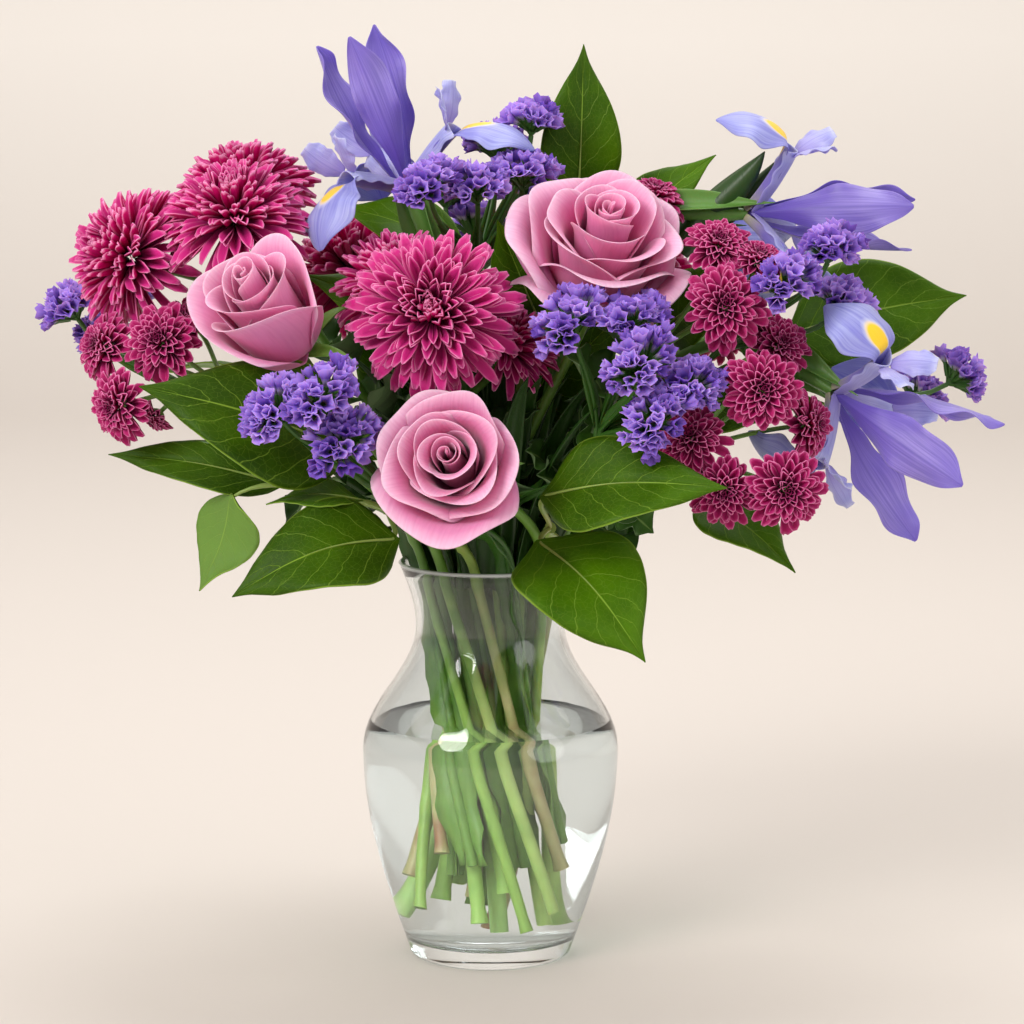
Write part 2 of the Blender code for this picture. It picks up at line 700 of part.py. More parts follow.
for name, growth in IRISES.items():
    iris(name, *growth)

vase()
water(standing)
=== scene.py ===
"""A bouquet of irises, roses, chrysanthemums, statice and salal leaves in a clear glass vase of water."""

import math
import random

import bpy
import numpy as np
from mathutils import Matrix, Vector


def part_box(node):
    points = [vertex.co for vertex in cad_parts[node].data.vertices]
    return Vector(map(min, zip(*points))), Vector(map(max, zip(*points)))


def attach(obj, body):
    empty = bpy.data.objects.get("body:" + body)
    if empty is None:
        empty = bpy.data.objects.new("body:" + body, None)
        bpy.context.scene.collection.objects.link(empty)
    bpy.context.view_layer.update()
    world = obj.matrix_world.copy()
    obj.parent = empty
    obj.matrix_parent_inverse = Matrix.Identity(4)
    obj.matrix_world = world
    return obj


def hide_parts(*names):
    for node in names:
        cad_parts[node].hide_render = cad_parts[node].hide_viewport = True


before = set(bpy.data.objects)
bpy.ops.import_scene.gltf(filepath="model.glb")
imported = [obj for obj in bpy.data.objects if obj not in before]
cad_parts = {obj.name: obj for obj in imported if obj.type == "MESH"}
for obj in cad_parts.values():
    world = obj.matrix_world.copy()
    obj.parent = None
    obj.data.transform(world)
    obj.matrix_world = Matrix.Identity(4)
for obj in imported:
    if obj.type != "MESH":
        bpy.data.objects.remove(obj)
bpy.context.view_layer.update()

# The room: a pale paper sweep that curves up behind the vase, lit by large soft lamps. It is made of one
# sheet so that no horizon shows.


def linear(hex_colour):
    """An sRGB hex colour as linear red, green, blue and alpha."""
    values = [int(hex_colour[i : i + 2], 16) / 255 for i in (1, 3, 5)]
    return (*[v / 12.92 if v <= 0.04045 else ((v + 0.055) / 1.055) ** 2.4 for v in values], 1)


def add(tree, kind, inputs=(), stops=(), **settings):
    """A node with its settings. Its inputs are nodes, sockets, hex colours or constants."""
    made = tree.nodes.new("ShaderNode" + kind)
    for name, value in settings.items():
        setattr(made, name, value)
    for name, value in inputs.items() if isinstance(inputs, dict) else enumerate(inputs):
        if isinstance(value, bpy.types.Node):
            value = value.outputs[0]
        if isinstance(value, bpy.types.NodeSocket):
            tree.links.new(value, made.inputs[name])
        else:
            made.inputs[name].default_value = linear(value) if isinstance(value, str) else value
    for index, (place, colour) in enumerate(stops):
        if index > 1:
            made.color_ramp.elements.new(place)
        made.color_ramp.elements[index].position = place
        made.color_ramp.elements[index].color = linear(colour)
    return made


def principled(name, **values):
    """A material, its tree and its shader, with constant values on the shader's own sockets."""
    made = bpy.data.materials.new(name)
    made.use_nodes = True
    shader = made.node_tree.nodes["Principled BSDF"]
    for socket, value in values.items():
        shader.inputs[socket.replace("_", " ")].default_value = value
    return made, made.node_tree, shader


def finished(tree, shader, colour, relief=None, depth=0.0, strength=0.5):
    """Gives a shader its colour and, where the surface has one, a fine relief with its depth in metres."""
    tree.links.new(colour.outputs[0], shader.inputs["Base Color"])
    if relief:
        bump = add(tree, "Bump", {"Height": relief, "Distance": depth, "Strength": strength})
        tree.links.new(bump.outputs[0], shader.inputs["Normal"])


# Seamless background paper: matte, with a faint warm tint; painted shade makes it greyer where it lies flat
# and lighter up the wall
paper, tree, shader = principled("background_paper", Roughness=0.9)
place = add(tree, "TexCoord").outputs["Object"]
height = add(tree, "SeparateXYZ", (place,)).outputs["Z"]
# Painted shade: the paper's colour runs from darker on the floor to lighter up the wall, by height
painted_floor_shade = add(tree, "ValToRGB", (height,), stops=((0.0, "#D7CFC8"), (0.45, "#EFE9E3")))
finished(tree, shader, painted_floor_shade)
SWEEP_WIDTH = 9
SWEEP_HEIGHT = 4
SWEEP_BACK = 3.6
SWEEP_CURVE = 1.2
bpy.ops.object.select_all(action="DESELECT")
bpy.ops.mesh.primitive_plane_add(size=SWEEP_WIDTH, location=(0, SWEEP_BACK - SWEEP_WIDTH / 2, 0))
sweep = bpy.context.object
sweep.name = "paper_sweep"
bpy.ops.object.mode_set(mode="EDIT")
bpy.ops.mesh.select_mode(type="EDGE")
bpy.ops.mesh.select_all(action="DESELECT")
bpy.ops.object.mode_set(mode="OBJECT")
for edge in sweep.data.edges:
    edge.select = all(sweep.data.vertices[i].co.y > 0 for i in edge.vertices)
bpy.ops.object.mode_set(mode="EDIT")
bpy.ops.mesh.extrude_region_move(TRANSFORM_OT_translate={"value": (0, 0, SWEEP_HEIGHT)})
bpy.ops.object.mode_set(mode="OBJECT")
for edge in sweep.data.edges:
    ends = [sweep.data.vertices[i].co for i in edge.vertices]
    edge.select = all(end.y > 0 and end.z < 0.01 for end in ends)
bpy.ops.object.mode_set(mode="EDIT")
bpy.ops.mesh.bevel(offset=SWEEP_CURVE, segments=16)
bpy.ops.object.mode_set(mode="OBJECT")
sweep.data.shade_smooth()
sweep.data.materials.append(paper)
bpy.ops.object.transform_apply(location=True, rotation=True, scale=True)


def soft_lamp(name, place, aim, size, power, colour):
    """A round area lamp that looks from its place to its aim."""
    light = bpy.data.lights.new(name, "AREA")
    light.shape = "DISK"
    light.size = size
    light.energy = power
    light.color = linear(colour)[:3]
    lamp = bpy.data.objects.new(name, light)
    aimed = (Vector(aim) - Vector(place)).to_track_quat("-Z", "Y").to_matrix().to_4x4()
    lamp.matrix_world = Matrix.Translation(place) @ aimed
    bpy.context.collection.objects.link(lamp)


soft_lamp("key_lamp", (-1.5, -1.9, 1.7), (0, 0, 0.25), 1.3, 52, "#FFFCF9")
soft_lamp("fill_lamp", (1.9, -1.4, 0.9), (0, 0, 0.25), 1.6, 10, "#FFFDFA")
soft_lamp("top_lamp", (0.2, 0.5, 2.0), (0, 0, 0.2), 1.4, 16, "#FFFFFF")
soft_lamp("backdrop_lamp", (0, 1.5, 2.3), (0, 3.4, 0.2), 1.6, 17, "#FFFFFF")

world = bpy.data.worlds.new("studio")
world.use_nodes = True
world.node_tree.nodes["Background"].inputs["Color"].default_value = linear("#FBF6F0")
world.node_tree.nodes["Background"].inputs["Strength"].default_value = 0.66
bpy.context.scene.world = world
bpy.context.scene.view_settings.view_transform = "Standard"

# A long lens a little over the bouquet, tipped down towards the vase
TILT_DOWN = 8.12
lens = bpy.data.cameras.new("camera")
lens.sensor_width = 36
lens.lens = 119.5
camera = bpy.data.objects.new("camera", lens)
camera.location = (0.011, -1.70, 0.47)
camera.rotation_euler = (math.radians(90 - TILT_DOWN), 0, 0)
bpy.context.collection.objects.link(camera)
bpy.context.scene.camera = camera

# The vase: blown soda-lime glass with one even wall, a narrow neck, a flared mouth with a fire-rounded lip,
# and a thick flat foot that is a little hollow underneath.

_, VASE_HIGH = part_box("vase")
VASE_HEIGHT = VASE_HIGH.z
SHOULDER_RADIUS = VASE_HIGH.x
FOOT_RADIUS = 0.0415
HEEL = 0.0025
MOUTH_RADIUS = 0.0467
NECK_RADIUS = 0.0378
NECK_HEIGHT = VASE_HEIGHT * 0.838
SHOULDER_HEIGHT = VASE_HEIGHT * 0.527
WALL = 0.003
FLOOR = 0.010
WATER_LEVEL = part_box("water")[1].z
AROUND = 96


def glass_radius(height):
    """The outer radius of the glass at a height."""
    if height <= SHOULDER_HEIGHT:
        rise = max(height - HEEL, 0) / (SHOULDER_HEIGHT - HEEL)
        return FOOT_RADIUS + (SHOULDER_RADIUS - FOOT_RADIUS) * math.sin(rise * math.pi / 2)
    if height <= NECK_HEIGHT:
        rise = (height - SHOULDER_HEIGHT) / (NECK_HEIGHT - SHOULDER_HEIGHT)
        return SHOULDER_RADIUS - (SHOULDER_RADIUS - NECK_RADIUS) * (1 - math.cos(rise * math.pi)) / 2
    rise = (height - NECK_HEIGHT) / (VASE_HEIGHT - NECK_HEIGHT)
    return NECK_RADIUS + (MOUTH_RADIUS - NECK_RADIUS) * (1 - math.cos(rise * math.pi / 2))


def turned(name, profile):
    """A round body made by drawing a circle up through (radius, height) points, closed at both ends."""
    bpy.ops.object.select_all(action="DESELECT")
    radius, height = profile[0]
    start = (0, 0, height)
    bpy.ops.mesh.primitive_circle_add(vertices=AROUND, radius=radius, fill_type="TRIFAN", location=start)
    made = bpy.context.object
    made.name = name
    bpy.ops.object.transform_apply(location=True)
    bpy.ops.object.mode_set(mode="EDIT")
    bpy.ops.mesh.select_mode(type="EDGE")
    bpy.ops.mesh.select_all(action="DESELECT")
    bpy.ops.object.mode_set(mode="OBJECT")
    for edge in made.data.edges:
        edge.select = all(made.data.vertices[i].co.xy.length > radius / 2 for i in edge.vertices)
    bpy.ops.object.mode_set(mode="EDIT")
    for next_radius, next_height in profile[1:]:
        bpy.ops.mesh.extrude_region_move(TRANSFORM_OT_translate={"value": (0, 0, next_height - height)})
        share = next_radius / radius
        bpy.ops.transform.resize(value=(share, share, 1), center_override=(0, 0, next_height))
        radius, height = next_radius, next_height
    bpy.ops.mesh.edge_face_add()
    bpy.ops.mesh.select_all(action="SELECT")
    bpy.ops.mesh.normals_make_consistent(inside=False)
    bpy.ops.object.mode_set(mode="OBJECT")
    made.data.shade_smooth()
    return made


def even(low, high, count):
    return [low + (high - low) * step / count for step in range(count + 1)]


LIP = WALL / 2
LIP_ENDS = 0.5  # radians between the lip's arc and each wall
outside = [(glass_radius(z), z) for z in even(HEEL, VASE_HEIGHT - LIP, 40)]
inside = [(glass_radius(z) - WALL, z) for z in even(FLOOR + 0.004, VASE_HEIGHT - LIP, 36)]
middle, low = glass_radius(VASE_HEIGHT) - LIP, VASE_HEIGHT - LIP
lip = [(middle + LIP * math.cos(a), low + LIP * math.sin(a)) for a in even(LIP_ENDS, math.pi - LIP_ENDS, 4)]
foot = [(0.012, 0.0012), (0.030, 0.0009), (0.036, 0.0)]
foot += [(FOOT_RADIUS - 0.0022, 0.0), (FOOT_RADIUS - 0.0006, 0.0009)]
well_edge = inside[0][0]
well = [(well_edge - 0.0015, FLOOR + 0.0015), (well_edge - 0.006, FLOOR), (0.012, FLOOR - 0.0004)]
vase = turned("vase_glass", [*foot, *outside, *lip, *inside[::-1], *well])


def clear(name, colour, ior):
    """A clear liquid or glass that lets the lamps light what is inside it."""
    see_through = dict(Roughness=0.0, IOR=ior, Transmission_Weight=1.0)
    made, tree, shader = principled(name, Base_Color=linear(colour), **see_through)
    through = add(tree, "BsdfTransparent", {"Color": "#E6EBEA"})
    shadow = add(tree, "LightPath").outputs["Is Shadow Ray"]
    both = add(tree, "MixShader", (shadow, shader, through))
    tree.links.new(both.outputs[0], tree.nodes["Material Output"].inputs["Surface"])
    return made, tree, shader


def given(piece, slot, *nodes):
    """The piece rides with the bouquet and stands for its solids, whose parts are hidden; its slot is not
    used.
    """
    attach(piece, "root")
    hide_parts(*nodes)


# Soda-lime glass, fire-polished: clear on the wall, pale grey-blue and part opaque in its rounded lip as a
# painted highlight
glass, tree, shader = clear("soda_lime_glass", "#F0F5F6", 1.5)
place = add(tree, "TexCoord").outputs["Object"]
height = add(tree, "SeparateXYZ", (place,)).outputs["Z"]
# Painted highlight: towards the top of the lip the glass lets less light through, so that it shows pale
LIP_HIGHLIGHT_FROM = VASE_HEIGHT - 0.0022
LIP_HIGHLIGHT_TO = VASE_HEIGHT - 0.0008
fading = {"Value": height, "From Min": LIP_HIGHLIGHT_FROM, "From Max": LIP_HIGHLIGHT_TO, "To Min": 1.0, "To Max": 0.45}
clarity = add(tree, "MapRange", fading)
tree.links.new(clarity.outputs[0], shader.inputs["Transmission Weight"])
vase.data.materials.append(glass)
given(vase, "glass", "vase")

# The water: it wets the glass, so its side lies a hair inside the wall and its edge climbs a little.
WETTING = 0.0003
CLIMB = 0.0012
wet = [(glass_radius(z) - WALL + WETTING, z) for z in even(FLOOR + 0.004, WATER_LEVEL + CLIMB, 24)]
top_edge, low_edge = wet[-1][0], wet[0][0]
surface = [(top_edge - 0.0012, WATER_LEVEL + 0.0003), (top_edge - 0.003, WATER_LEVEL), (0.004, WATER_LEVEL)]
bottom = [(0.012, FLOOR - 0.0006), (low_edge - 0.0064, FLOOR - 0.0003), (low_edge - 0.0017, FLOOR + 0.0012)]
water = turned("vase_water", [*bottom, *wet, *surface])
water.data.materials.append(clear("fresh_water", "#FBFDFD", 1.33)[0])
given(water, "water", "water")

# The stems: every one stands in the vase on its own slanting line, so that they cross like a hand-tied
# bunch, and bends out over the mouth to its flower. Each is cut at its own height.

BLOOM = 0.071  # between the middles of a rose and a large chrysanthemum that stand side by side
THICK_STEM_RADIUS = 0.0033
STEM_RADIUS = 0.0026
BRANCH_RADIUS = 0.0013
# Each ring of stems: its share of the neck, and the height of each stem's cut end
RINGS = (
    (1.0, dict(
        salal_right=0.045, button_mum_back=0.030, salal_back=0.060, statice_left=0.055,
        button_mum_left=0.020, rose_left=0.028, salal_left=0.050, statice_low=0.062,
        rose_front=0.018, salal_front=0.016, button_mum_low=0.040, iris_3=0.022,
    )),
    (0.58, dict(
        mum_stem_back=0.034, statice_back=0.048, mum_stem_left=0.024, mum_stem_centre=0.040,
        statice_centre=0.052, rose_top=0.020, button_mum_right=0.066, statice_right=0.030, iris_2=0.042,
    )),
    (0.2, dict(salal_top=0.036, iris_1=0.018, statice_top=0.044)),
)
LOWEST_CUT = 0.015
STEM_TO_GLASS = 0.003
RING_TO_OUTSIDE = WALL + STEM_TO_GLASS + THICK_STEM_RADIUS
NECK_RING = glass_radius(NECK_HEIGHT) - RING_TO_OUTSIDE
FOOT_RING = glass_radius(LOWEST_CUT) - RING_TO_OUTSIDE


def at(right, back, up):
    """A place in the bouquet, in blooms from the centre of the vase's mouth."""
    return Vector((0, 0, VASE_HEIGHT)) + BLOOM * Vector((right, back, up))


def stem_in_vase(name):
    """Where a stem's cut end stands, and where it leaves the mouth."""
    share, cuts = next(ring for ring in RINGS if name in ring[1])
    turn = math.pi / 2 + 2 * math.pi * list(cuts).index(name) / len(cuts)
    neck = Vector((math.cos(turn), math.sin(turn), 0)) * share * NECK_RING
    neck.z = NECK_HEIGHT
    foot = Vector((-math.sin(turn), math.cos(turn), 0)) * share * FOOT_RING
    foot.z = LOWEST_CUT
    return [foot.lerp(neck, (z - LOWEST_CUT) / (NECK_HEIGHT - LOWEST_CUT)) for z in (cuts[name], VASE_HEIGHT)]


def bend(start, leaving, end, arriving, count):
    """Points on a smooth curve that leaves one way and arrives another, as a growing stem does."""
    reach = (end - start).length
    leave, arrive = leaving.normalized() * reach, arriving.normalized() * reach
    points = []
    for t in (step / count for step in range(count + 1)):
        ends = start * (2 * t**3 - 3 * t**2 + 1) + leave * (t**3 - 2 * t**2 + t)
        points.append(ends + end * (3 * t**2 - 2 * t**3) + arrive * (t**3 - t**2))
    return points


def stem_route(name, end, arriving, radius, swelling=1.0, knots=0):
    """A stem's points from cut end to flower, and their radii, with a swollen knot at each leaf scar."""
    cut_end, leaving = stem_in_vase(name)
    points = [cut_end.lerp(leaving, step / 24) for step in range(24)]
    points += bend(leaving, leaving - cut_end, end, arriving, 30)
    radii = []
    for step in range(len(points)):
        share = step / (len(points) - 1)
        knot = max(0, math.cos(share * knots * 2 * math.pi)) ** 24 if knots else 0
        radii.append(radius * (1.12 - 0.2 * share + 0.3 * knot + (swelling - 1) * max(0, share - 0.9) * 10))
    return points, radii


def stalks(name, routes, look):
    """Round stems as one piece. Each route is its points and its radii."""
    curve = bpy.data.curves.new(name, "CURVE")
    curve.dimensions = "3D"
    curve.bevel_depth = 1
    curve.bevel_resolution = 3
    curve.use_fill_caps = True
    for points, radii in routes:
        spline = curve.splines.new("POLY")
        spline.points.add(len(points) - 1)
        for knot, point, radius in zip(spline.points, points, radii):
            knot.co = (*point, 1)
            knot.radius = radius
    made = bpy.data.objects.new(name, curve)
    bpy.context.collection.objects.link(made)
    bpy.ops.object.select_all(action="DESELECT")
    made.select_set(True)
    bpy.context.view_layer.objects.active = made
    bpy.ops.object.convert(target="MESH")
    made.data.shade_smooth()
    made.data.materials.clear()
    made.data.materials.append(look)
    return made


# Petals and leaves: each is a flat grid, bent by a rule into its own shape, and given its thickness.


def grid_of(columns, rows):
    """A flat grid: how far across (-1 to 1) and along (0 to 1) each point lies, and its faces."""
    bpy.ops.object.select_all(action="DESELECT")
    bpy.ops.mesh.primitive_grid_add(x_subdivisions=columns, y_subdivisions=rows, size=2)
    made = bpy.context.object
    points = np.array([vertex.co[:2] for vertex in made.data.vertices])
    faces = np.array([face.vertices[:] for face in made.data.polygons])
    bpy.data.objects.remove(made)
    return points[:, 0], (points[:, 1] + 1) / 2, faces


def grown(name, flat, petals, thickness, look, smoother=0):
    """One piece of many petals on the same grid. Each is its points and a value from 0 to 1 that sets its
    tint, and in the roses and chrysanthemums its painted shade.
    """
    across, along, faces = flat
    count = len(across)
    mesh = bpy.data.meshes.new(name)
    points = np.concatenate([petal for petal, _ in petals])
    all_faces = np.concatenate([faces + count * index for index in range(len(petals))])
    mesh.from_pydata(points.tolist(), [], all_faces.tolist())
    corners = all_faces.ravel() % count
    uv = np.stack([(across[corners] + 1) / 2, along[corners]], 1)
    mesh.uv_layers.new(name="UVMap").data.foreach_set("uv", uv.ravel().astype(np.float32))
    tints_and_shades = np.repeat([tint_and_shade for _, tint_and_shade in petals], count).astype(np.float32)
    mesh.attributes.new("tint_and_shade", "FLOAT", "POINT").data.foreach_set("value", tints_and_shades)
    mesh.shade_smooth()
    mesh.materials.append(look)
    made = bpy.data.objects.new(name, mesh)
    bpy.context.collection.objects.link(made)
    bpy.context.view_layer.objects.active = made
    solid = made.modifiers.new("thickness", "SOLIDIFY")
    solid.thickness = thickness
    solid.offset = 0
    bpy.ops.object.modifier_apply(modifier=solid.name)
    under = np.arange(len(made.data.vertices)) >= len(points)
    made.data.attributes.new("under", "FLOAT", "POINT").data.foreach_set("value", under.astype(np.float32))
    if smoother:
        soft = made.modifiers.new("smoothness", "SUBSURF")
        soft.levels = soft.render_levels = smoother
        bpy.ops.object.modifier_apply(modifier=soft.name)
    return made


def joined(name, *parts):
    """Parts that grew together, as one piece."""
    bpy.ops.object.select_all(action="DESELECT")
    for part in parts:
        part.select_set(True)
    bpy.context.view_layer.objects.active = parts[0]
    bpy.ops.object.join()
    parts[0].name = parts[0].data.name = name
    return parts[0]


def strip(flat, points, width, side, cup=0.0, raised=None, twist=0.0):
    """A petal whose middle follows the points. `width` is its half width and `raised` its relief."""
    across, along, _ = flat
    path = np.array([tuple(point) for point in points])
    lengths = np.concatenate([[0], np.cumsum(np.linalg.norm(np.diff(path, axis=0), axis=1))])
    lengths /= lengths[-1]
    slopes = np.gradient(path, lengths, axis=0)
    middle = np.stack([np.interp(along, lengths, path[:, axis]) for axis in range(3)], 1)
    ahead = np.stack([np.interp(along, lengths, slopes[:, axis]) for axis in range(3)], 1)
    ahead /= np.linalg.norm(ahead, axis=1)[:, None]
    sideways = np.array(side) - ahead * (ahead @ np.array(side))[:, None]
    sideways /= np.linalg.norm(sideways, axis=1)[:, None]
    normal = np.cross(sideways, ahead)
    turn = (twist * along)[:, None]
    turned_side = sideways * np.cos(turn) + normal * np.sin(turn)
    normal = normal * np.cos(turn) - sideways * np.sin(turn)
    half = width(along)
    relief = raised(across, along) * np.clip(half / half.max() * 2.5, 0, 1) if raised else 0
    rise = (cup(along) if callable(cup) else cup) * half * across**2 + relief
    return middle + turned_side * (across * half)[:, None] + normal * rise[:, None]


def any_phase(draw):
    """Where a wave along a petal starts."""
    return draw.uniform(0, 6.28)


def outline(*shares):
    """A width rule from shares at even steps from base to tip, drawn as a smooth line."""
    fine = np.linspace(0, 1, 200)
    straight = np.interp(fine, np.linspace(0, 1, len(shares)), shares)
    window = np.hanning(2 * (200 // len(shares)) + 3)
    padded = np.pad(straight, len(window) // 2, mode="edge")
    smooth = np.convolve(padded, window / window.sum(), mode="valid")[:200]
    ends = np.clip(np.minimum(fine, 1 - fine) * 8, 0, 1)
    smooth = straight + (smooth - straight) * ends
    return lambda along: np.maximum(np.interp(along, fine, smooth), 0)


def stem_skin(name, low, high, blush=None):
    """Fresh cut stem: waxy green skin with fine lengthwise fibres, paler low in the vase as painted light for
    the light that the glass and water hold back.
    """
    made, tree, shader = principled(name, Roughness=0.42, Subsurface_Weight=0.12, Subsurface_Scale=0.002)
    place = add(tree, "TexCoord").outputs["Object"]
    long_way = add(tree, "Mapping", {"Vector": place, "Scale": (900, 900, 60)})
    fibres = add(tree, "TexNoise", {"Vector": long_way, "Scale": 1.0, "Detail": 3.0})
    height = add(tree, "SeparateXYZ", (place,)).outputs["Z"]
    patches = add(tree, "TexNoise", {"Vector": place, "Scale": 45.0, "Detail": 2.0})
    # Painted light: the skin is paler below this height, in the vase, where the glass and water keep light
    # from it
    up = add(tree, "MapRange", {"Value": height, "From Min": 0.11, "From Max": 0.27})
    mottled = add(tree, "Math", (up, patches), operation="ADD")
    colour = add(tree, "ValToRGB", (mottled,), stops=((0.5, low), (1.0, high)))
    if blush:
        patch = add(tree, "TexNoise", {"Vector": place, "Scale": 28.0})
        edge = add(tree, "MapRange", {"Value": patch, "From Min": 0.54, "From Max": 0.66})
        fading = add(tree, "Math", (1.0, up), operation="SUBTRACT")
        amount = add(tree, "Math", (edge, fading), operation="MULTIPLY")
        colour = add(tree, "MixRGB", (amount, colour, blush))
    finished(tree, shader, colour, fibres, 0.0003, 0.6)
    return made


def blade_space(tree):
    """A petal's own places: its UV map, how far along it a point lies, and how far from its midrib."""
    uv = add(tree, "UVMap")
    split = add(tree, "SeparateXYZ", (uv,))
    off_centre = add(tree, "Math", (split.outputs["X"], 0.5), operation="SUBTRACT")
    return uv, split.outputs["Y"], off_centre, add(tree, "Math", (off_centre,), operation="ABSOLUTE")


# The roses: garden roses on thornless stems, mauve-pink and a little past half open. Each is one spiral of
# broad petals that wrap a tight bud and roll back at the rim, on a green hip with five narrow sepals.

ROSE_RADIUS = 0.037
ROSE_TURN = math.radians(137.5)
# Each rose: its middle, the way it looks, its size, how far it has opened, how many petals, and its seed
ROSES = {
    "rose_left": (at(-1.50, -1.35, 1.93), (-0.40, -0.62, 0.68), 1.08, 0.42, 13, 5),
    "rose_top": (at(0.77, -0.85, 2.31), (0.15, -0.60, 0.80), 1.13, 1.0, 21, 3),
    "rose_front": (at(-0.24, -1.88, 0.95), (-0.12, -0.93, 0.34), 0.97, 0.70, 16, 8),
}

# Rose petal: velvety and slightly translucent, paler at the rim; darker towards the base and on the inner
# petals, partly its own deeper pink and partly painted shade in the heart of the flower
velvet, tree, shader = principled(
    "rose_petal_velvet",
    Roughness=0.55,
    Subsurface_Weight=0.35,
    Subsurface_Radius=(1.0, 0.35, 0.45),
    Subsurface_Scale=0.004,
    Sheen_Weight=0.25,
    Sheen_Roughness=0.4,
    Specular_IOR_Level=0.35,
)
uv = add(tree, "UVMap")
place = add(tree, "TexCoord").outputs["Object"]
along = add(tree, "SeparateXYZ", (uv,)).outputs["Y"]
tint_and_shade = add(tree, "Attribute", attribute_name="tint_and_shade").outputs["Fac"]
# The inner petals' colours are darker, most of all at the base: partly deeper pink, partly painted shade
inner_stops = ((0.0, "#861C50"), (0.55, "#CE5292"), (0.9, "#E484B4"), (1.0, "#F6B2D0"))
outer_stops = ((0.0, "#CC84A8"), (0.35, "#DE78AA"), (0.85, "#EA96C0"), (1.0, "#F8C2DC"))
inner, outer = [add(tree, "ValToRGB", (along,), stops=stops) for stops in (inner_stops, outer_stops)]
face = add(tree, "MixRGB", (tint_and_shade, inner, outer))
veins = add(tree, "Mapping", {"Vector": uv, "Scale": (46, 3.5, 1)})
vein = add(tree, "TexNoise", {"Vector": veins, "Scale": 1.0, "Detail": 2.0})
vein_dark = add(tree, "MapRange", {"Value": vein, "From Min": 0.4, "From Max": 0.75, "To Max": 0.2})
cloud = add(tree, "TexNoise", {"Vector": place, "Scale": 55.0, "Detail": 3.0})
cloud_dark = add(tree, "MapRange", {"Value": cloud, "From Min": 0.45, "From Max": 0.8, "To Max": 0.3})
veined = add(tree, "MixRGB", (vein_dark, face, "#C0508A"))
clouded = add(tree, "MixRGB", (cloud_dark, veined, "#CC6A9C"))
finished(tree, shader, clouded, vein, 0.0004, 0.35)
rose_stem_skin = stem_skin("rose_stem_skin", "#C6DE7E", "#6C9838")


def rose_petal(flat, share, turn, radius, opening, draw):
    """A petal of the spiral, from the tight middle (share 0) to the rolled-back guard petals (share 1)."""
    across, along, _ = flat
    steps = np.linspace(0, 1.2, 121)
    openness = share**1.15 * opening
    length = radius * (1.42 + 0.10 * share) * draw.uniform(0.95, 1.04)
    pointed = draw.uniform(0, 1) * share
    rounded = along * (1 - 0.20 * np.abs(across) ** 3.2 - 0.20 * pointed * np.abs(across) ** 1.2)
    flare = math.radians(22 + 62 * share)
    rise = math.radians(-7 + 40 * openness + draw.uniform(-2.2, 2.2) * (0.4 + share))
    roll = math.radians(16 + 95 * openness + draw.uniform(-14, 14))
    angle = rise + flare * np.clip(1 - steps / 0.34, 0, 1)
    angle = angle + roll * np.clip((steps - 0.66) / 0.34, 0, 1.4) ** 1.6
    stride = length * (steps[1] - steps[0])
    out = radius * (0.05 + 0.10 * share) + np.concatenate([[0], np.cumsum(np.sin(angle) * stride)[:-1]])
    up = -0.80 * radius + np.concatenate([[0], np.cumsum(np.cos(angle) * stride)[:-1]])
    r = np.interp(rounded, steps, out)
    z = np.interp(rounded, steps, up)
    wide = radius * (0.56 + 0.46 * share) * draw.uniform(0.88, 1.14)
    shape = 0.42 + 0.58 * np.sin(np.minimum(along / 0.6, 1) * math.pi / 2)
    shape = shape * (1 - 0.10 * np.clip((along - 0.6) / 0.4, 0, 1) ** 2)
    wrap = np.maximum(r, radius * 0.17)
    around = turn + across * wide * shape / wrap
    edge = np.clip((np.abs(across) - 0.55) / 0.45, 0, 1) ** 2
    rolled = edge * share**1.5 * along**2 * radius
    r = r + radius * 0.05 * across * (1 - 0.5 * share) + 0.20 * rolled * (0.4 + opening)
    z = z - (0.22 + 0.25 * pointed) * rolled * opening
    phase = any_phase(draw)
    wave = np.sin(across * 5.5 + phase) * along**3 * radius * (0.012 + 0.03 * share)
    r = np.maximum(r + wave, radius * 0.012)
    z = z + wave * 0.5
    return np.stack([r * np.cos(around), r * np.sin(around), z], 1)


def placed(points, centre, direction):
    """Points of a flower that looks up +Z, moved to its centre and turned to its direction."""
    basis = np.array(Vector(direction).to_track_quat("Z", "Y").to_matrix())
    return points @ basis.T + np.array(centre)


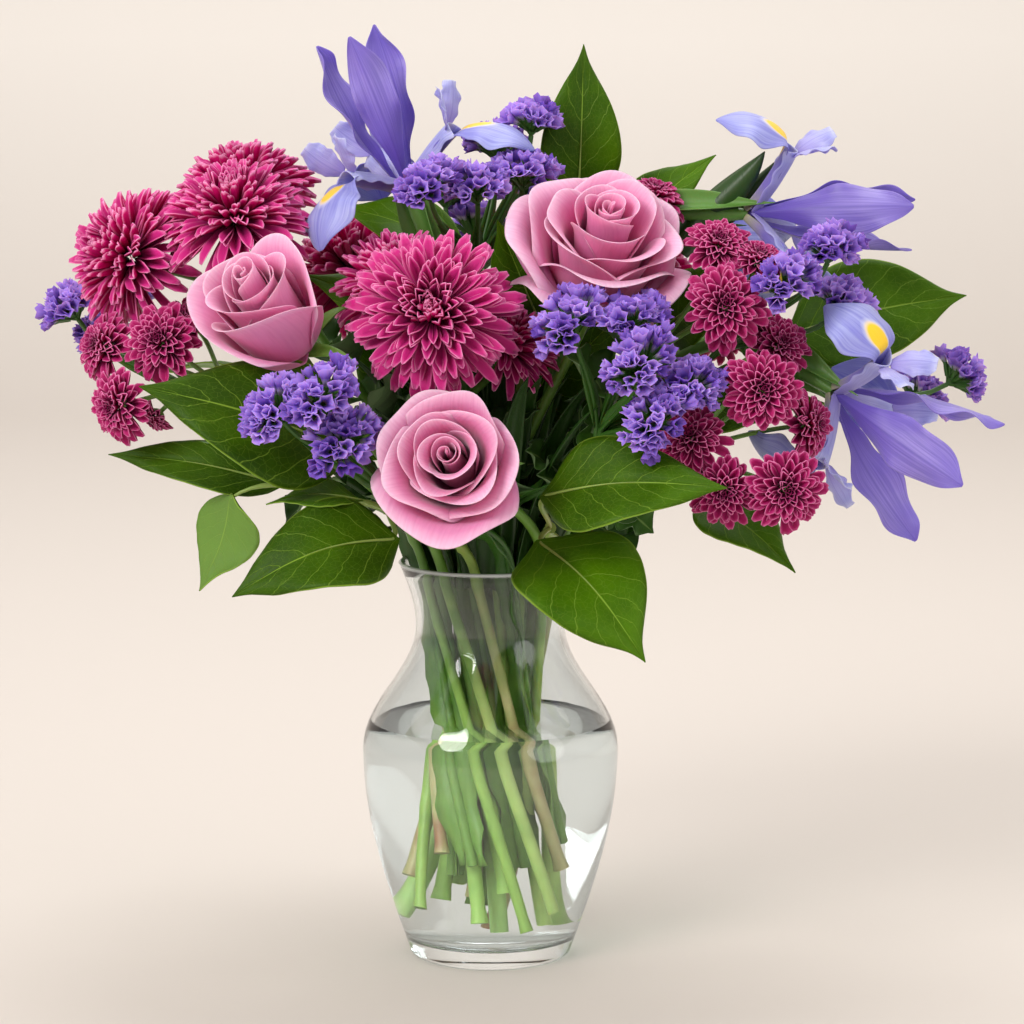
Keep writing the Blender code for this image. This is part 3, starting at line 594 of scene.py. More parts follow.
rose_grid = grid_of(14, 12)
sepal_grid = grid_of(4, 10)
sepal_outline = outline(0.004, 0.0042, 0.0035, 0.002, 0)
SEPALS = 5
for name, (centre, direction, size, opening, count, seed) in ROSES.items():
    direction = Vector(direction).normalized()
    radius = ROSE_RADIUS * size
    draw = random.Random(seed)
    petals = []
    for index in range(count):
        share = index / (count - 1)
        turn = index * ROSE_TURN + draw.uniform(-0.28, 0.28)
        shape = rose_petal(rose_grid, share, turn, radius, opening, draw)
        # Inner petals take the darker colours: partly their own deeper pink, partly painted shade in the
        # heart
        petals.append((placed(shape, centre, direction), min(1, share * 1.25)))
    head = grown(name + "_petals", rose_grid, petals, 0.0005, velvet, smoother=1)
    given(head, "rose_petal", name + "_head")

    base = centre - direction * radius * 0.92
    points, radii = stem_route(name, base, direction, STEM_RADIUS, swelling=1.3)
    hip = [base + direction * radius * step / 40 for step in range(9)]
    bulb = [radius * share for share in (0.10, 0.13, 0.16, 0.18, 0.19, 0.18, 0.16, 0.12, 0.05)]
    sepals = []
    for index in range(SEPALS):
        turn = index * math.radians(360 / SEPALS) + draw.uniform(-0.2, 0.2)
        out = Vector((math.cos(turn), math.sin(turn), 0))
        lift = draw.uniform(-0.1, 0.2)
        path = []
        for t in np.linspace(0, 1, 12):
            height = -0.86 + lift * t + 0.45 * t * t - 0.5 * t**3
            path.append(out * radius * (0.12 + 0.75 * t) + Vector((0, 0, radius * height)))
        sepal = strip(sepal_grid, path, sepal_outline, out.cross(Vector((0, 0, 1))), cup=0.25)
        sepals.append((placed(sepal, centre, direction), 1))
    stem = joined(
        name + "_stem_and_hip",
        stalks(name + "_stalk", [(points, radii), (hip, bulb)], rose_stem_skin),
        grown(name + "_sepals", sepal_grid, sepals, 0.0006, rose_stem_skin),
    )
    given(stem, "green_stem", name + "_stem")


# The large chrysanthemums: crimson heads of incurved strap petals, packed in one spiral from the tight
# middle to a loose drooping ring at the back, three or two to a forked green stem.

MUM_RADIUS = 0.034
MUM_FLORETS = 240
MUM_STEMS = {
    "mum_stem_left": (at(-1.15, -0.10, 1.55), (-0.5, -0.1, 0.85), {
        "mum_1": (at(-2.56, -0.30, 2.20), (-0.80, -0.50, 0.35), 1.0),
        "mum_2": (at(-1.80, 0.50, 2.66), (-0.25, -0.10, 0.95), 1.0),
        "mum_3": (at(-1.76, -0.54, 2.52), (-0.10, -0.50, 0.85), 1.0),
    }),
    "mum_stem_centre": (at(-0.25, -0.55, 1.05), (-0.1, -0.3, 0.95), {
        "mum_4": (at(-0.38, -1.42, 1.90), (-0.05, -0.95, 0.25), 1.1),
        "mum_5": (at(-0.62, -0.66, 2.08), (-0.15, -0.30, 0.94), 0.95),
        "mum_6": (at(0.12, -0.45, 1.62), (0.20, -0.40, 0.88), 0.75),
    }),
    "mum_stem_back": (at(0.05, 0.70, 1.15), (0.0, 0.4, 0.9), {
        "mum_7": (at(1.05, 1.05, 2.05), (0.50, 0.60, 0.62), 1.0),
        "mum_8": (at(-1.05, 1.20, 2.00), (-0.50, 0.65, 0.55), 1.0),
    }),
}
GOLDEN = math.radians(137.508)


def strap_petal(name, root, base, rim, tip, shade, back):
    """Chrysanthemum strap petal: satin, with fine lengthwise grooves and a paler back; its near-black root
    and the shade colour it is mixed with are painted shade, and its pale tip and edges are partly its own and
    partly painted highlight.
    """
    made, tree, shader = principled(
        name,
        Roughness=0.5,
        Subsurface_Weight=0.1,
        Subsurface_Radius=(1.0, 0.2, 0.5),
        Subsurface_Scale=0.002,
        Specular_IOR_Level=0.15,
    )
    uv, along, _, off_rib = blade_space(tree)
    tint_and_shade = add(tree, "Attribute", attribute_name="tint_and_shade").outputs["Fac"]
    under = add(tree, "Attribute", attribute_name="under").outputs["Fac"]
    # Painted shade: the root is near black where it lies deep in the head; the palest tip is partly painted
    # highlight
    lengthwise = add(tree, "ValToRGB", (along,), stops=((0.0, root), (0.5, base), (0.9, rim), (1.0, tip)))
    # Paler edges towards the tip: partly the petal's own, partly painted highlight
    edge = add(tree, "MapRange", {"Value": off_rib, "From Min": 0.36, "From Max": 0.5, "To Max": 0.7})
    far = add(tree, "Math", (edge, along), operation="MULTIPLY")
    edged = add(tree, "MixRGB", (far, lengthwise, tip))
    # Painted shade: each petal is mixed towards the shade colour by the amount its head's rule gives it
    shaded = add(tree, "MixRGB", (tint_and_shade, edged, shade))
    backing = add(tree, "Math", (under, 0.65), operation="MULTIPLY")
    backed = add(tree, "MixRGB", (backing, shaded, back))
    ribs = add(tree, "Mapping", {"Vector": uv, "Scale": (11, 1.2, 1)})
    rib = add(tree, "TexNoise", {"Vector": ribs, "Scale": 1.0})
    light = add(tree, "MapRange", {"Value": rib, "From Min": 0.5, "From Max": 0.8, "To Max": 0.25})
    ribbed = add(tree, "MixRGB", (light, backed, rim))
    finished(tree, shader, ribbed, rib, 0.0003, 0.5)
    return made


# The root and shade colours are painted shade; the pale tip colour is partly painted highlight
mum_petal = strap_petal(
    "chrysanthemum_strap_petal", "#200012", "#A2004E", "#C80E6C", "#FFACD6", "#6E0038", "#D43690"
)
mum_stem_skin = stem_skin("chrysanthemum_stem_skin", "#B4DA70", "#557F2A")
floret_grid = grid_of(2, 6)


def floret(flat, root, tilt, turn, length, width, curl, spoon):
    """A strap petal from a root ring, at an angle from the flower's axis, that curls as it goes out."""
    across, along, _ = flat
    steps = np.linspace(0, 1, 25)
    angle = tilt + curl * steps**1.3
    out = root[0] + np.concatenate([[0], np.cumsum(np.sin(angle))[:-1]]) * length / 25
    up = root[1] + np.concatenate([[0], np.cumsum(np.cos(angle))[:-1]]) * length / 25
    r, z, lean = (np.interp(along, steps, values) for values in (out, up, angle))
    half = width * (0.40 + 0.60 * np.sin(np.minimum(along / 0.75, 1) * math.pi / 2))
    half = half * np.sqrt(np.clip(1 - (np.clip(along - 0.72, 0, 1) / 0.30) ** 2, 0.02, 1))
    lift = spoon * half * across**2
    r, z = r - np.cos(lean) * lift, z + np.sin(lean) * lift
    side = across * half
    return np.stack([r * np.cos(turn) - side * np.sin(turn), r * np.sin(turn) + side * np.cos(turn), z], 1)


def double_head(flat, count, centre, direction, radius, rule, draw):
    """The petals of a double flower, in one spiral from its middle out. The rule gives each one's shape and
    its painted shade.
    """
    petals = []
    for index in range(count):
        share = math.sqrt((index + 0.5) / count)
        petal = rule(share)
        loose = petal["loose"]
        shape = floret(
            flat,
            (radius * petal["ring"], radius * petal["drop"]),
            math.radians(petal["tilt"] + draw.gauss(0, loose)),
            index * GOLDEN + draw.gauss(0, 0.08),
            radius * petal["length"] * draw.uniform(0.84, 1.1),
            radius * petal["width"] * draw.uniform(0.85, 1.15),
            math.radians(petal["curl"] + draw.gauss(0, loose * 1.6)),
            petal["spoon"],
        )
        tint_and_shade = min(1, max(0, petal["shade"] + draw.uniform(-0.2, 0.2)))
        petals.append((placed(shape, centre, direction), tint_and_shade))
    return petals


def mum_rule(share):
    """A large chrysanthemum: short incurved petals in the middle, darkened by painted shade, long loose ones
    behind.
    """
    return dict(
        ring=0.28 * share,
        drop=0.10 - 0.38 * share**2,
        tilt=3 + 104 * share**1.2,
        length=0.36 + 0.56 * share**0.9,
        width=0.055 + 0.024 * share,
        curl=-50 + 66 * share**2,
        spoon=1.3,
        loose=5 + 4 * share,
        # Painted shade: the petals in the middle of the head are darkened most
        shade=0.5 - 0.6 * share,
    )


seed = 20
for name, (fork, growing, heads) in MUM_STEMS.items():
    growing = Vector(growing).normalized()
    routes = [stem_route(name, fork, growing, STEM_RADIUS * 1.1, knots=9)]
    for head_name, (centre, direction, size) in heads.items():
        direction = Vector(direction).normalized()
        radius = MUM_RADIUS * size
        seed += 1
        draw = random.Random(seed)
        petals = double_head(floret_grid, MUM_FLORETS, centre, direction, radius, mum_rule, draw)
        piece = grown(head_name + "_florets", floret_grid, petals, 0.0005, mum_petal)
        given(piece, "chrysanthemum_petal", head_name)
        base = centre - direction * radius * 0.36
        neck = bend(fork - growing * STEM_RADIUS, growing, base, direction, 18)
        routes.append((neck, [STEM_RADIUS * 0.8] * 16 + [0.004, 0.0075, 0.009]))
    given(stalks(name + "_forked", routes, mum_stem_skin), "green_stem", name)


# The button chrysanthemums: sprays of small double heads, each one spiral of short cupped petals, deep
# magenta with pale pink rims, partly painted highlight, round a dark eye of middle petals painted near black
# as painted shade.

BUTTON_RADIUS = 0.0182
BUTTON_FLORETS = 92
BUTTON_SPRAYS = {
    "button_mum_left": (at(-1.75, -0.70, 1.25), (-0.7, -0.3, 0.6), (
        (at(-2.66, -0.72, 1.60), (-0.70, -0.60, 0.30), 0.95),
        (at(-2.22, -1.02, 1.66), (-0.25, -0.90, 0.35), 1.05),
        (at(-2.52, -1.08, 1.22), (-0.60, -0.75, -0.10), 0.95),
        (at(-2.30, -0.78, 1.10), (-0.60, -0.40, -0.65), 0.5),
        (at(-2.10, -0.40, 1.75), (-0.50, -0.60, 0.60), 0.8),
    )),
    "button_mum_right": (at(1.10, -0.55, 1.45), (0.4, -0.3, 0.85), (
        (at(1.56, -0.91, 2.31), (0.10, -0.70, 0.70), 0.9),
        (at(1.58, -1.28, 1.92), (0.05, -0.95, 0.30), 1.1),
        (at(1.82, -0.95, 2.22), (0.20, -0.50, 0.80), 0.75),
        (at(1.15, -0.05, 2.60), (0.20, -0.30, 0.93), 0.9),
    )),
    "button_mum_low": (at(1.15, -0.85, 0.80), (0.7, -0.5, 0.4), (
        (at(1.82, -1.50, 1.38), (0.05, -0.97, 0.20), 1.05),
        (at(1.98, -0.85, 1.62), (0.30, -0.80, 0.45), 0.9),
        (at(2.18, -1.12, 1.10), (0.80, -0.55, 0.15), 0.9),
        (at(1.35, -1.38, 1.05), (-0.20, -0.85, 0.40), 0.95),
        (at(1.57, -1.48, 0.70), (-0.10, -0.97, -0.10), 0.95),
        (at(1.98, -1.60, 0.72), (0.10, -0.98, 0.05), 1.05),
    )),
    "button_mum_back": (at(0.85, 1.05, 1.05), (0.4, 0.6, 0.65), (
        (at(0.20, 1.75, 1.75), (-0.10, 0.90, 0.45), 1.0),
        (at(0.70, 1.60, 2.10), (0.10, 0.75, 0.65), 1.0),
        (at(0.62, 1.88, 1.45), (0.10, 0.95, 0.20), 0.95),
        (at(1.70, 1.30, 1.55), (0.60, 0.70, 0.35), 1.0),
        (at(1.85, 0.75, 1.90), (0.75, 0.35, 0.55), 0.9),
    )),
}
# The root and shade colours are painted shade; the pale tip colour is partly painted highlight
button_petal = strap_petal(
    "button_chrysanthemum_petal", "#1E000C", "#7A0032", "#9E0650", "#F294C4", "#2A0010", "#B42470"
)
button_stem_skin = stem_skin("button_stem_skin", "#A8CC60", "#6A9440")
button_grid = grid_of(3, 6)


def button_rule(share):
    """A button chrysanthemum: a tight eye darkened by painted shade, then short broad cupped petals."""
    return dict(
        ring=0.34 * share,
        drop=0.12 - 0.40 * share**2,
        tilt=2 + 96 * share**1.1,
        length=0.22 + 0.60 * share**1.4,
        width=0.045 + 0.100 * share,
        curl=-34 + 30 * share,
        spoon=1.2,
        loose=3 + 4 * share,
        # Painted shade: the middle petals are darkened to the shade colour
        shade=1.5 - 2.6 * share,
    )


for name, (fork, growing, heads) in BUTTON_SPRAYS.items():
    growing = Vector(growing).normalized()
    draw = random.Random(name)
    routes = [stem_route(name, fork, growing, STEM_RADIUS * 0.9, knots=8)]
    petals = []
    for centre, direction, size in heads:
        direction = Vector(direction).normalized()
        radius = BUTTON_RADIUS * size
        petals += double_head(button_grid, BUTTON_FLORETS, centre, direction, radius, button_rule, draw)
        base = centre - direction * radius * 0.62
        neck = bend(fork - growing * STEM_RADIUS, growing, base, direction, 16)
        neck += [base + direction * radius * step for step in (0.1, 0.22, 0.3)]
        routes.append((neck, [BRANCH_RADIUS * 0.9] * 17 + [radius * share for share in (0.30, 0.42, 0.30)]))
    piece = grown(name + "_heads", button_grid, petals, 0.0004, button_petal)
    given(piece, "button_chrysanthemum_petal", name)
    given(stalks(name + "_stems", routes, button_stem_skin), "green_stem", name)


# Chrysanthemum leaves: soft, deeply lobed leaves with greyish backs, left on the upper part of each
# chrysanthemum stem. They fill the middle of the bouquet between the flowers.

LOBED_LENGTH = 0.052
LOBED_HALF_WIDTH = 0.018
LEAVES_ON_A_STEM = 12

# Chrysanthemum leaf: matt, softly downy, dark green with a paler midrib and a grey-green back
downy, tree, shader = principled("downy_chrysanthemum_leaf", Roughness=0.6, Specular_IOR_Level=0.25)
_, _, _, off_rib = blade_space(tree)
place = add(tree, "TexCoord").outputs["Object"]
under = add(tree, "Attribute", attribute_name="under").outputs["Fac"]
cloud = add(tree, "TexNoise", {"Vector": place, "Scale": 60.0, "Detail": 3.0})
green = add(tree, "ValToRGB", (cloud,), stops=((0.3, "#1C3A08"), (0.7, "#355F14")))
rib = add(tree, "MapRange", {"Value": off_rib, "From Max": 0.05, "To Min": 0.7, "To Max": 0.0})
ribbed = add(tree, "MixRGB", (rib, green, "#7E9C52"))
both = add(tree, "MixRGB", (under, ribbed, "#6F8A5E"))
down = add(tree, "TexNoise", {"Vector": place, "Scale": 900.0, "Detail": 2.0})
finished(tree, shader, both, down, 0.0002, 0.5)

lobed_grid = grid_of(8, 30)
lobed_envelope = outline(0.12, 0.30, 0.70, 0.95, 1.0, 0.85, 0.55, 0.0)


def lobed_leaf(base, way, up, size, draw):
    """A lobed leaf that leaves its stem one way and droops a little at the tip."""
    way = way.normalized()
    side = way.cross(up).normalized()
    up = side.cross(way)
    droop = draw.uniform(0.1, 0.5)
    length = LOBED_LENGTH * size
    path = [base + way * length * t + up * length * (0.25 * t - droop * t * t) for t in np.linspace(0, 1, 16)]
    notches = lambda v: 0.50 + 0.50 * np.abs(np.cos(v * 11 + 0.6)) ** 0.7
    lobes = lambda v: LOBED_HALF_WIDTH * size * lobed_envelope(v) * notches(v)
    fold = draw.uniform(0.1, 0.5)
    wave = any_phase(draw)
    relief = lambda u, v: 0.003 * np.sin(v * 15 + wave) * u**2 + 0.0015 * np.sin(v * 29) * np.abs(u)
    return strip(lobed_grid, path, lobes, side, cup=fold, raised=relief, twist=draw.uniform(-0.6, 0.6))


draw = random.Random(77)
leaves = []
for name, (fork, growing, heads) in {**MUM_STEMS, **BUTTON_SPRAYS}.items():
    growing = Vector(growing).normalized()
    points, _ = stem_route(name, fork, growing, STEM_RADIUS)
    for index in range(LEAVES_ON_A_STEM):
        step = 27 + index * 2.2
        point, ahead = points[int(step)], (points[int(step) + 1] - points[int(step)]).normalized()
        turn = Matrix.Rotation(index * GOLDEN + draw.uniform(-0.4, 0.4), 3, ahead)
        out = turn @ ahead.orthogonal().normalized()
        way = ahead * draw.uniform(0.3, 0.8) + out
        leaves.append((lobed_leaf(point, way, ahead, draw.uniform(0.65, 1.0), draw), draw.uniform(0, 1)))
given(grown("chrysanthemum_leaves", lobed_grid, leaves, 0.0005, downy), "green_stem")


# The statice: stiff sprays whose heads are combs of small papery funnels, violet at the ruffled rim, each
# in green bracts. The stems have thin leafy wings along them.

STATICE_RADIUS = 0.0130
STATICE_SPRAYS = {
    "statice_left": (at(-1.90, 0.30, 1.05), (-0.8, 0.0, 0.55), (
        (at(-2.98, 0.05, 1.82), (-0.50, -0.20, 0.85), 0.75),
        (at(-2.78, 0.35, 1.62), (-0.60, 0.30, 0.70), 0.7),
        (at(-2.60, 0.70, 1.90), (-0.30, 0.30, 0.90), 0.8),
    )),
    "statice_low": (at(-0.62, -1.50, 0.66), (-0.5, -0.6, 0.6), (
        (at(-1.08, -1.92, 1.42), (-0.10, -0.60, 0.80), 1.1),
        (at(-1.42, -1.80, 1.30), (-0.45, -0.55, 0.70), 0.9),
        (at(-0.95, -1.85, 1.08), (0.10, -0.80, 0.60), 0.9),
    )),
    "statice_centre": (at(0.72, -0.95, 0.95), (0.2, -0.5, 0.85), (
        (at(0.52, -1.48, 1.85), (-0.25, -0.60, 0.75), 1.15),
        (at(0.98, -1.38, 1.86), (0.10, -0.40, 0.90), 0.85),
        (at(1.00, -1.70, 1.60), (0.00, -0.70, 0.70), 1.1),
        (at(1.36, -1.52, 1.42), (0.30, -0.60, 0.70), 0.95),
        (at(1.10, -1.78, 1.22), (0.10, -0.85, 0.50), 0.95),
    )),
    "statice_top": (at(-0.10, 0.05, 1.95), (0.0, 0.1, 1.0), (
        (at(-0.42, -0.82, 2.72), (-0.15, -0.50, 0.85), 0.85),
        (at(-0.08, -0.60, 2.70), (0.00, -0.40, 0.90), 0.9),
        (at(0.25, -0.34, 2.79), (0.15, -0.20, 0.95), 0.95),
        (at(0.05, 0.20, 2.95), (0.00, 0.20, 0.95), 0.8),
        (at(0.30, 0.00, 3.12), (0.10, 0.00, 1.00), 0.65),
    )),
    "statice_right": (at(1.50, -0.45, 1.45), (0.5, -0.1, 0.85), (
        (at(2.00, -1.20, 2.10), (0.15, -0.60, 0.75), 0.95),
        (at(2.35, -0.80, 2.30), (0.30, -0.30, 0.90), 0.85),
        (at(2.45, -0.55, 1.90), (0.60, -0.20, 0.80), 0.75),
        (at(3.40, 0.45, 1.28), (0.80, 0.10, 0.50), 0.75),
        (at(3.15, 0.75, 1.10), (0.70, 0.30, 0.50), 0.7),
    )),
    "statice_back": (at(-0.30, 0.60, 1.75), (-0.1, 0.5, 0.85), (
        (at(-0.10, 1.45, 2.30), (0.05, 0.60, 0.80), 1.0),
        (at(-0.45, 1.60, 2.10), (-0.10, 0.70, 0.70), 1.0),
        (at(0.25, 1.15, 2.55), (0.10, 0.40, 0.90), 0.95),
        (at(-0.35, 1.25, 2.58), (-0.10, 0.40, 0.90), 0.9),
    )),
}
FUNNEL_SIDES = 12
FUNNEL_HEIGHT = 0.0090
FUNNEL_MOUTH = 0.0036
FUNNELS = 38

# Statice calyx: dry and papery, violet at the rim and whitish-green down its tube, with pleats
papery, tree, shader = principled(
    "statice_paper", Roughness=0.7, Subsurface_Weight=0.3, Subsurface_Scale=0.001
)
uv = add(tree, "UVMap")
along = add(tree, "SeparateXYZ", (uv,)).outputs["Y"]
tint_and_shade = add(tree, "Attribute", attribute_name="tint_and_shade").outputs["Fac"]
dark_stops = ((0.0, "#6F8F4A"), (0.35, "#A08CB4"), (0.55, "#46228C"), (1.0, "#6C42B8"))
bright_stops = ((0.0, "#8FA868"), (0.35, "#C0B2D8"), (0.55, "#8458CC"), (1.0, "#BE9CF4"))
dark, bright = [add(tree, "ValToRGB", (along,), stops=stops) for stops in (dark_stops, bright_stops)]
pleats = add(tree, "Mapping", {"Vector": uv, "Scale": (40, 1, 1)})
pleat = add(tree, "TexNoise", {"Vector": pleats, "Scale": 1.0})
finished(tree, shader, add(tree, "MixRGB", (tint_and_shade, dark, bright)), pleat, 0.0003, 0.6)

statice_stem_skin = stem_skin("statice_stem_skin", "#7EA648", "#34601A")
funnel_grid = grid_of(FUNNEL_SIDES, 2)
wing_grid = grid_of(2, 40)
bract_grid = grid_of(2, 6)
bract_outline = outline(0.001, 0.0018, 0.0016, 0)
twig_wing_outline = outline(0.0004, 0.0022, 0.0026, 0.0018, 0.0)


def funnel(flat, size, draw):
    """A small trumpet whose mouth is ruffled and folded, looking up +Z from its narrow foot."""
    across, along, _ = flat
    around = across * math.pi
    fine, coarse = [np.sin(around * folds + any_phase(draw)) for folds in (5, 3)]
    ruffle = 1 + (0.20 * fine + 0.16 * coarse) * along**2
    r = size * FUNNEL_MOUTH * (0.16 + 0.84 * along**1.6) * ruffle
    z = size * FUNNEL_HEIGHT * (along + 0.10 * along**2 * np.sin(around * 5 + any_phase(draw)))
    squeeze = draw.uniform(0.55, 1)
    return np.stack([r * np.cos(around), r * squeeze * np.sin(around), z], 1)


for name, (fork, growing, heads) in STATICE_SPRAYS.items():
    growing = Vector(growing).normalized()
    draw = random.Random(name)
    route, radii = stem_route(name, fork, growing, STEM_RADIUS * 0.8)
    routes = [(route, radii)]
    funnels = []
    bracts = []
    for centre, direction, size in heads:
        direction = Vector(direction).normalized()
        radius = STATICE_RADIUS * size
        base = centre - direction * radius * 0.95
        twig = bend(fork - growing * STEM_RADIUS, growing, base, direction, 14)
        routes.append((twig, [BRANCH_RADIUS] * len(twig)))
        across_way = direction.orthogonal().normalized()
        for way in (across_way, -across_way, direction.cross(across_way)):
            edge = [point + way * 0.0018 for point in twig[3:12]]
            bracts.append((strip(bract_grid, edge, twig_wing_outline, way), 0.5))
        for index in range(FUNNELS):
            lean = math.radians(74 * math.sqrt((index + 0.5) / FUNNELS))
            out = Matrix.Rotation(index * GOLDEN, 3, direction) @ across_way
            way = direction * math.cos(lean) + out * math.sin(lean)
            astray = Vector((draw.uniform(-1, 1), draw.uniform(-1, 1), draw.uniform(-1, 1)))
            way = (way + 0.25 * astray).normalized()
            foot = centre - direction * radius * 0.45 + way * radius * draw.uniform(0.25, 0.6)
            foot += across_way * across_way.dot(way) * radius * 0.6
            scale = draw.uniform(0.85, 1.25)
            funnels.append((placed(funnel(funnel_grid, scale, draw), foot, way), draw.uniform(0, 1)))
            stalk = [base, base.lerp(foot, 0.5) - out * 0.001, foot + way * 0.001]
            routes.append((stalk, [0.0007, 0.0008, 0.0012]))
            tip = foot + way * 0.0055 + out * 0.0016
            path = [base.lerp(foot, 0.4), foot, tip]
            bracts.append((strip(bract_grid, path, bract_outline, out.cross(way)), 0.5))
    given(grown(name + "_florets", funnel_grid, funnels, 0.0003, papery), "statice_floret", name)
    wings = []
    inward = -Vector((route[4].x, route[4].y, 0)).normalized()
    round_wall = inward.cross(Vector((0, 0, 1)))
    for side, reach in ((round_wall, 0.0048), (-round_wall, 0.0048), (inward, 0.0038)):
        phase = any_phase(draw)
        edge = [point + side * reach for point in route[: 50 - draw.randint(0, 4)]]
        torn = lambda v: 0.95 + 0.24 * np.sin(v * 23 + phase) + 0.20 * np.sin(v * 71 + phase)
        ragged = lambda v: reach * torn(v) * np.clip(v * 14, 0.35, 1)
        crimped = lambda u, v: 0.0008 * np.sin(v * 37) * (u + 1)
        wings.append((strip(wing_grid, edge, ragged, side, raised=crimped), 0.5))
    stems = joined(
        name + "_winged_stems",
        stalks(name + "_stems", routes, statice_stem_skin),
        grown(name + "_wings", wing_grid, wings, 0.0005, statice_stem_skin),
        grown(name + "_bracts", bract_grid, bracts, 0.0003, statice_stem_skin),
    )
    given(stems, "green_stem", name)


# The salal: woody twigs with broad leathery leaves, pointed at the tip, finely toothed at the edge and
# sunk a little along their veins, glossy above and paler below.

LEAF_WIDTH = 0.052
SALAL = {
    "salal_left": (at(-0.70, -0.95, 0.50), (-0.6, -0.5, 0.4), (
        (at(-0.90, -1.15, 0.90), at(-2.32, -1.50, 1.40), (-0.20, -0.85, 0.52), 1.2, 0.10),
        (at(-1.40, -0.90, 0.66), at(-2.62, -0.75, 0.85), (0.10, -0.85, 0.60), 0.55, 0.08),
        (at(-1.75, -1.05, 0.62), at(-1.98, -1.05, -0.05), (0.60, 0.80, -0.20), 0.75, 0.10),
        (at(-0.60, -1.40, 0.36), at(-1.70, -1.72, 0.02), (-0.20, -0.78, 0.62), 1.0, 0.16),
        (at(-0.85, -1.26, 0.60), at(-1.50, -1.30, 0.58), (-0.10, -0.30, 0.90), 0.6, 0.1),
    )),
    "salal_front": (at(0.42, -0.80, 0.35), (0.3, -0.8, 0.4), (
        (at(0.34, -1.50, 0.66), at(1.56, -1.95, 0.78), (-0.05, -0.80, 0.62), 1.0, 0.10),
        (at(0.32, -1.20, 0.32), at(1.04, -1.72, -0.42), (0.15, -0.85, 0.55), 1.25, 0.16),
    )),
    "salal_right": (at(1.25, 0.40, 1.00), (0.8, 0.0, 0.55), (
        (at(2.15, 0.60, 1.55), at(3.42, 0.45, 1.85), (-0.10, -0.85, 0.50), 1.15, 0.08),
        (at(1.65, 0.75, 0.85), at(2.55, 1.35, 0.95), (0.20, 0.30, 0.90), 0.95, 0.12),
        (at(1.45, -0.40, 0.45), at(2.10, -0.90, 0.05), (0.10, -0.55, 0.80), 0.75, 0.12),
        (at(1.35, -0.25, 1.10), at(2.30, -0.70, 1.20), (0.00, -0.75, 0.65), 0.8, 0.10),
        (at(1.20, 0.20, 1.60), at(1.85, -0.30, 2.05), (-0.20, -0.85, 0.45), 0.8, 0.10),
    )),
    "salal_top": (at(0.30, 0.35, 1.75), (0.1, 0.2, 0.95), (
        (at(0.62, 0.35, 2.45), at(0.66, 0.30, 3.64), (0.10, -0.97, 0.10), 0.8, 0.06),
        (at(-0.10, 0.55, 2.05), at(-1.15, 0.45, 2.50), (0.10, -0.60, 0.80), 0.8, 0.1),
        (at(0.95, 0.62, 2.15), at(1.62, 0.58, 2.85), (-0.50, -0.60, 0.60), 0.75, 0.1),
        (at(0.35, -0.10, 1.70), at(0.05, -0.55, 2.45), (-0.10, -0.90, 0.30), 0.7, 0.1),
        (at(-0.20, 0.10, 1.50), at(-1.30, -0.25, 2.05), (0.10, -0.85, 0.45), 0.9, 0.1),
    )),
    "salal_back": (at(-0.15, 0.95, 0.50), (0.0, 0.7, 0.6), (
        (at(0.55, 1.45, 0.60), at(1.30, 2.35, 0.75), (0.10, 0.30, 0.93), 1.0, 0.12),
        (at(-0.75, 1.45, 0.55), at(-1.45, 2.30, 0.50), (-0.10, 0.30, 0.93), 1.0, 0.14),
        (at(-0.05, 1.50, 0.45), at(-0.10, 2.25, -0.10), (0.00, 0.70, 0.70), 1.0, 0.14),
        (at(-1.45, 0.80, 1.05), at(-2.55, 1.35, 1.20), (-0.20, 0.20, 0.93), 0.95, 0.12),
        (at(0.25, 0.55, 0.95), at(0.95, 0.30, 1.75), (-0.20, -0.95, 0.20), 1.1, 0.08),
        (at(-0.35, 0.55, 0.90), at(-1.00, 0.25, 1.60), (0.20, -0.95, 0.20), 1.1, 0.08),
        (at(0.00, 0.50, 1.00), at(0.10, 0.30, 1.95), (0.00, -0.97, 0.10), 1.0, 0.06),
        (at(0.70, 0.30, 0.90), at(1.65, 0.05, 1.35), (-0.10, -0.90, 0.35), 1.0, 0.08),
    )),
}
LEAF_VEINS = 7

# Salal leaf: thick and waxy, dark green with light veins, lighter green where it is young
waxy, tree, shader = principled(
    "waxy_salal_leaf", Roughness=0.45, Subsurface_Weight=0.06, Subsurface_Scale=0.001, Specular_IOR_Level=0.12
)
uv, along, _, off_rib = blade_space(tree)
place = add(tree, "TexCoord").outputs["Object"]
tint_and_shade = add(tree, "Attribute", attribute_name="tint_and_shade").outputs["Fac"]
under = add(tree, "Attribute", attribute_name="under").outputs["Fac"]
swept = add(tree, "Math", (off_rib, -0.55, along), operation="MULTIPLY_ADD")
wobble = add(tree, "TexNoise", {"Vector": uv, "Scale": 9.0})
bent = add(tree, "Math", (wobble, 0.06, swept), operation="MULTIPLY_ADD")
counted = add(tree, "Math", (bent, float(LEAF_VEINS)), operation="MULTIPLY")
between = add(tree, "Math", (counted, 0.5), operation="PINGPONG")
side_vein = add(tree, "MapRange", {"Value": between, "From Max": 0.035, "To Min": 0.5, "To Max": 0.0})
midrib = add(tree, "MapRange", {"Value": off_rib, "From Max": 0.014, "To Min": 1.0, "To Max": 0.0})
net_space = add(tree, "Mapping", {"Vector": uv, "Scale": (18, 30, 1)})
net = add(tree, "TexVoronoi", {"Vector": net_space, "Scale": 1.0}, feature="DISTANCE_TO_EDGE")
net_vein = add(tree, "MapRange", {"Value": net, "From Max": 0.05, "To Min": 0.14, "To Max": 0.0})
margin = add(tree, "MapRange", {"Value": off_rib, "From Min": 0.482, "From Max": 0.497, "To Max": 0.8})
main_veins = add(tree, "Math", (side_vein, midrib), operation="MAXIMUM")
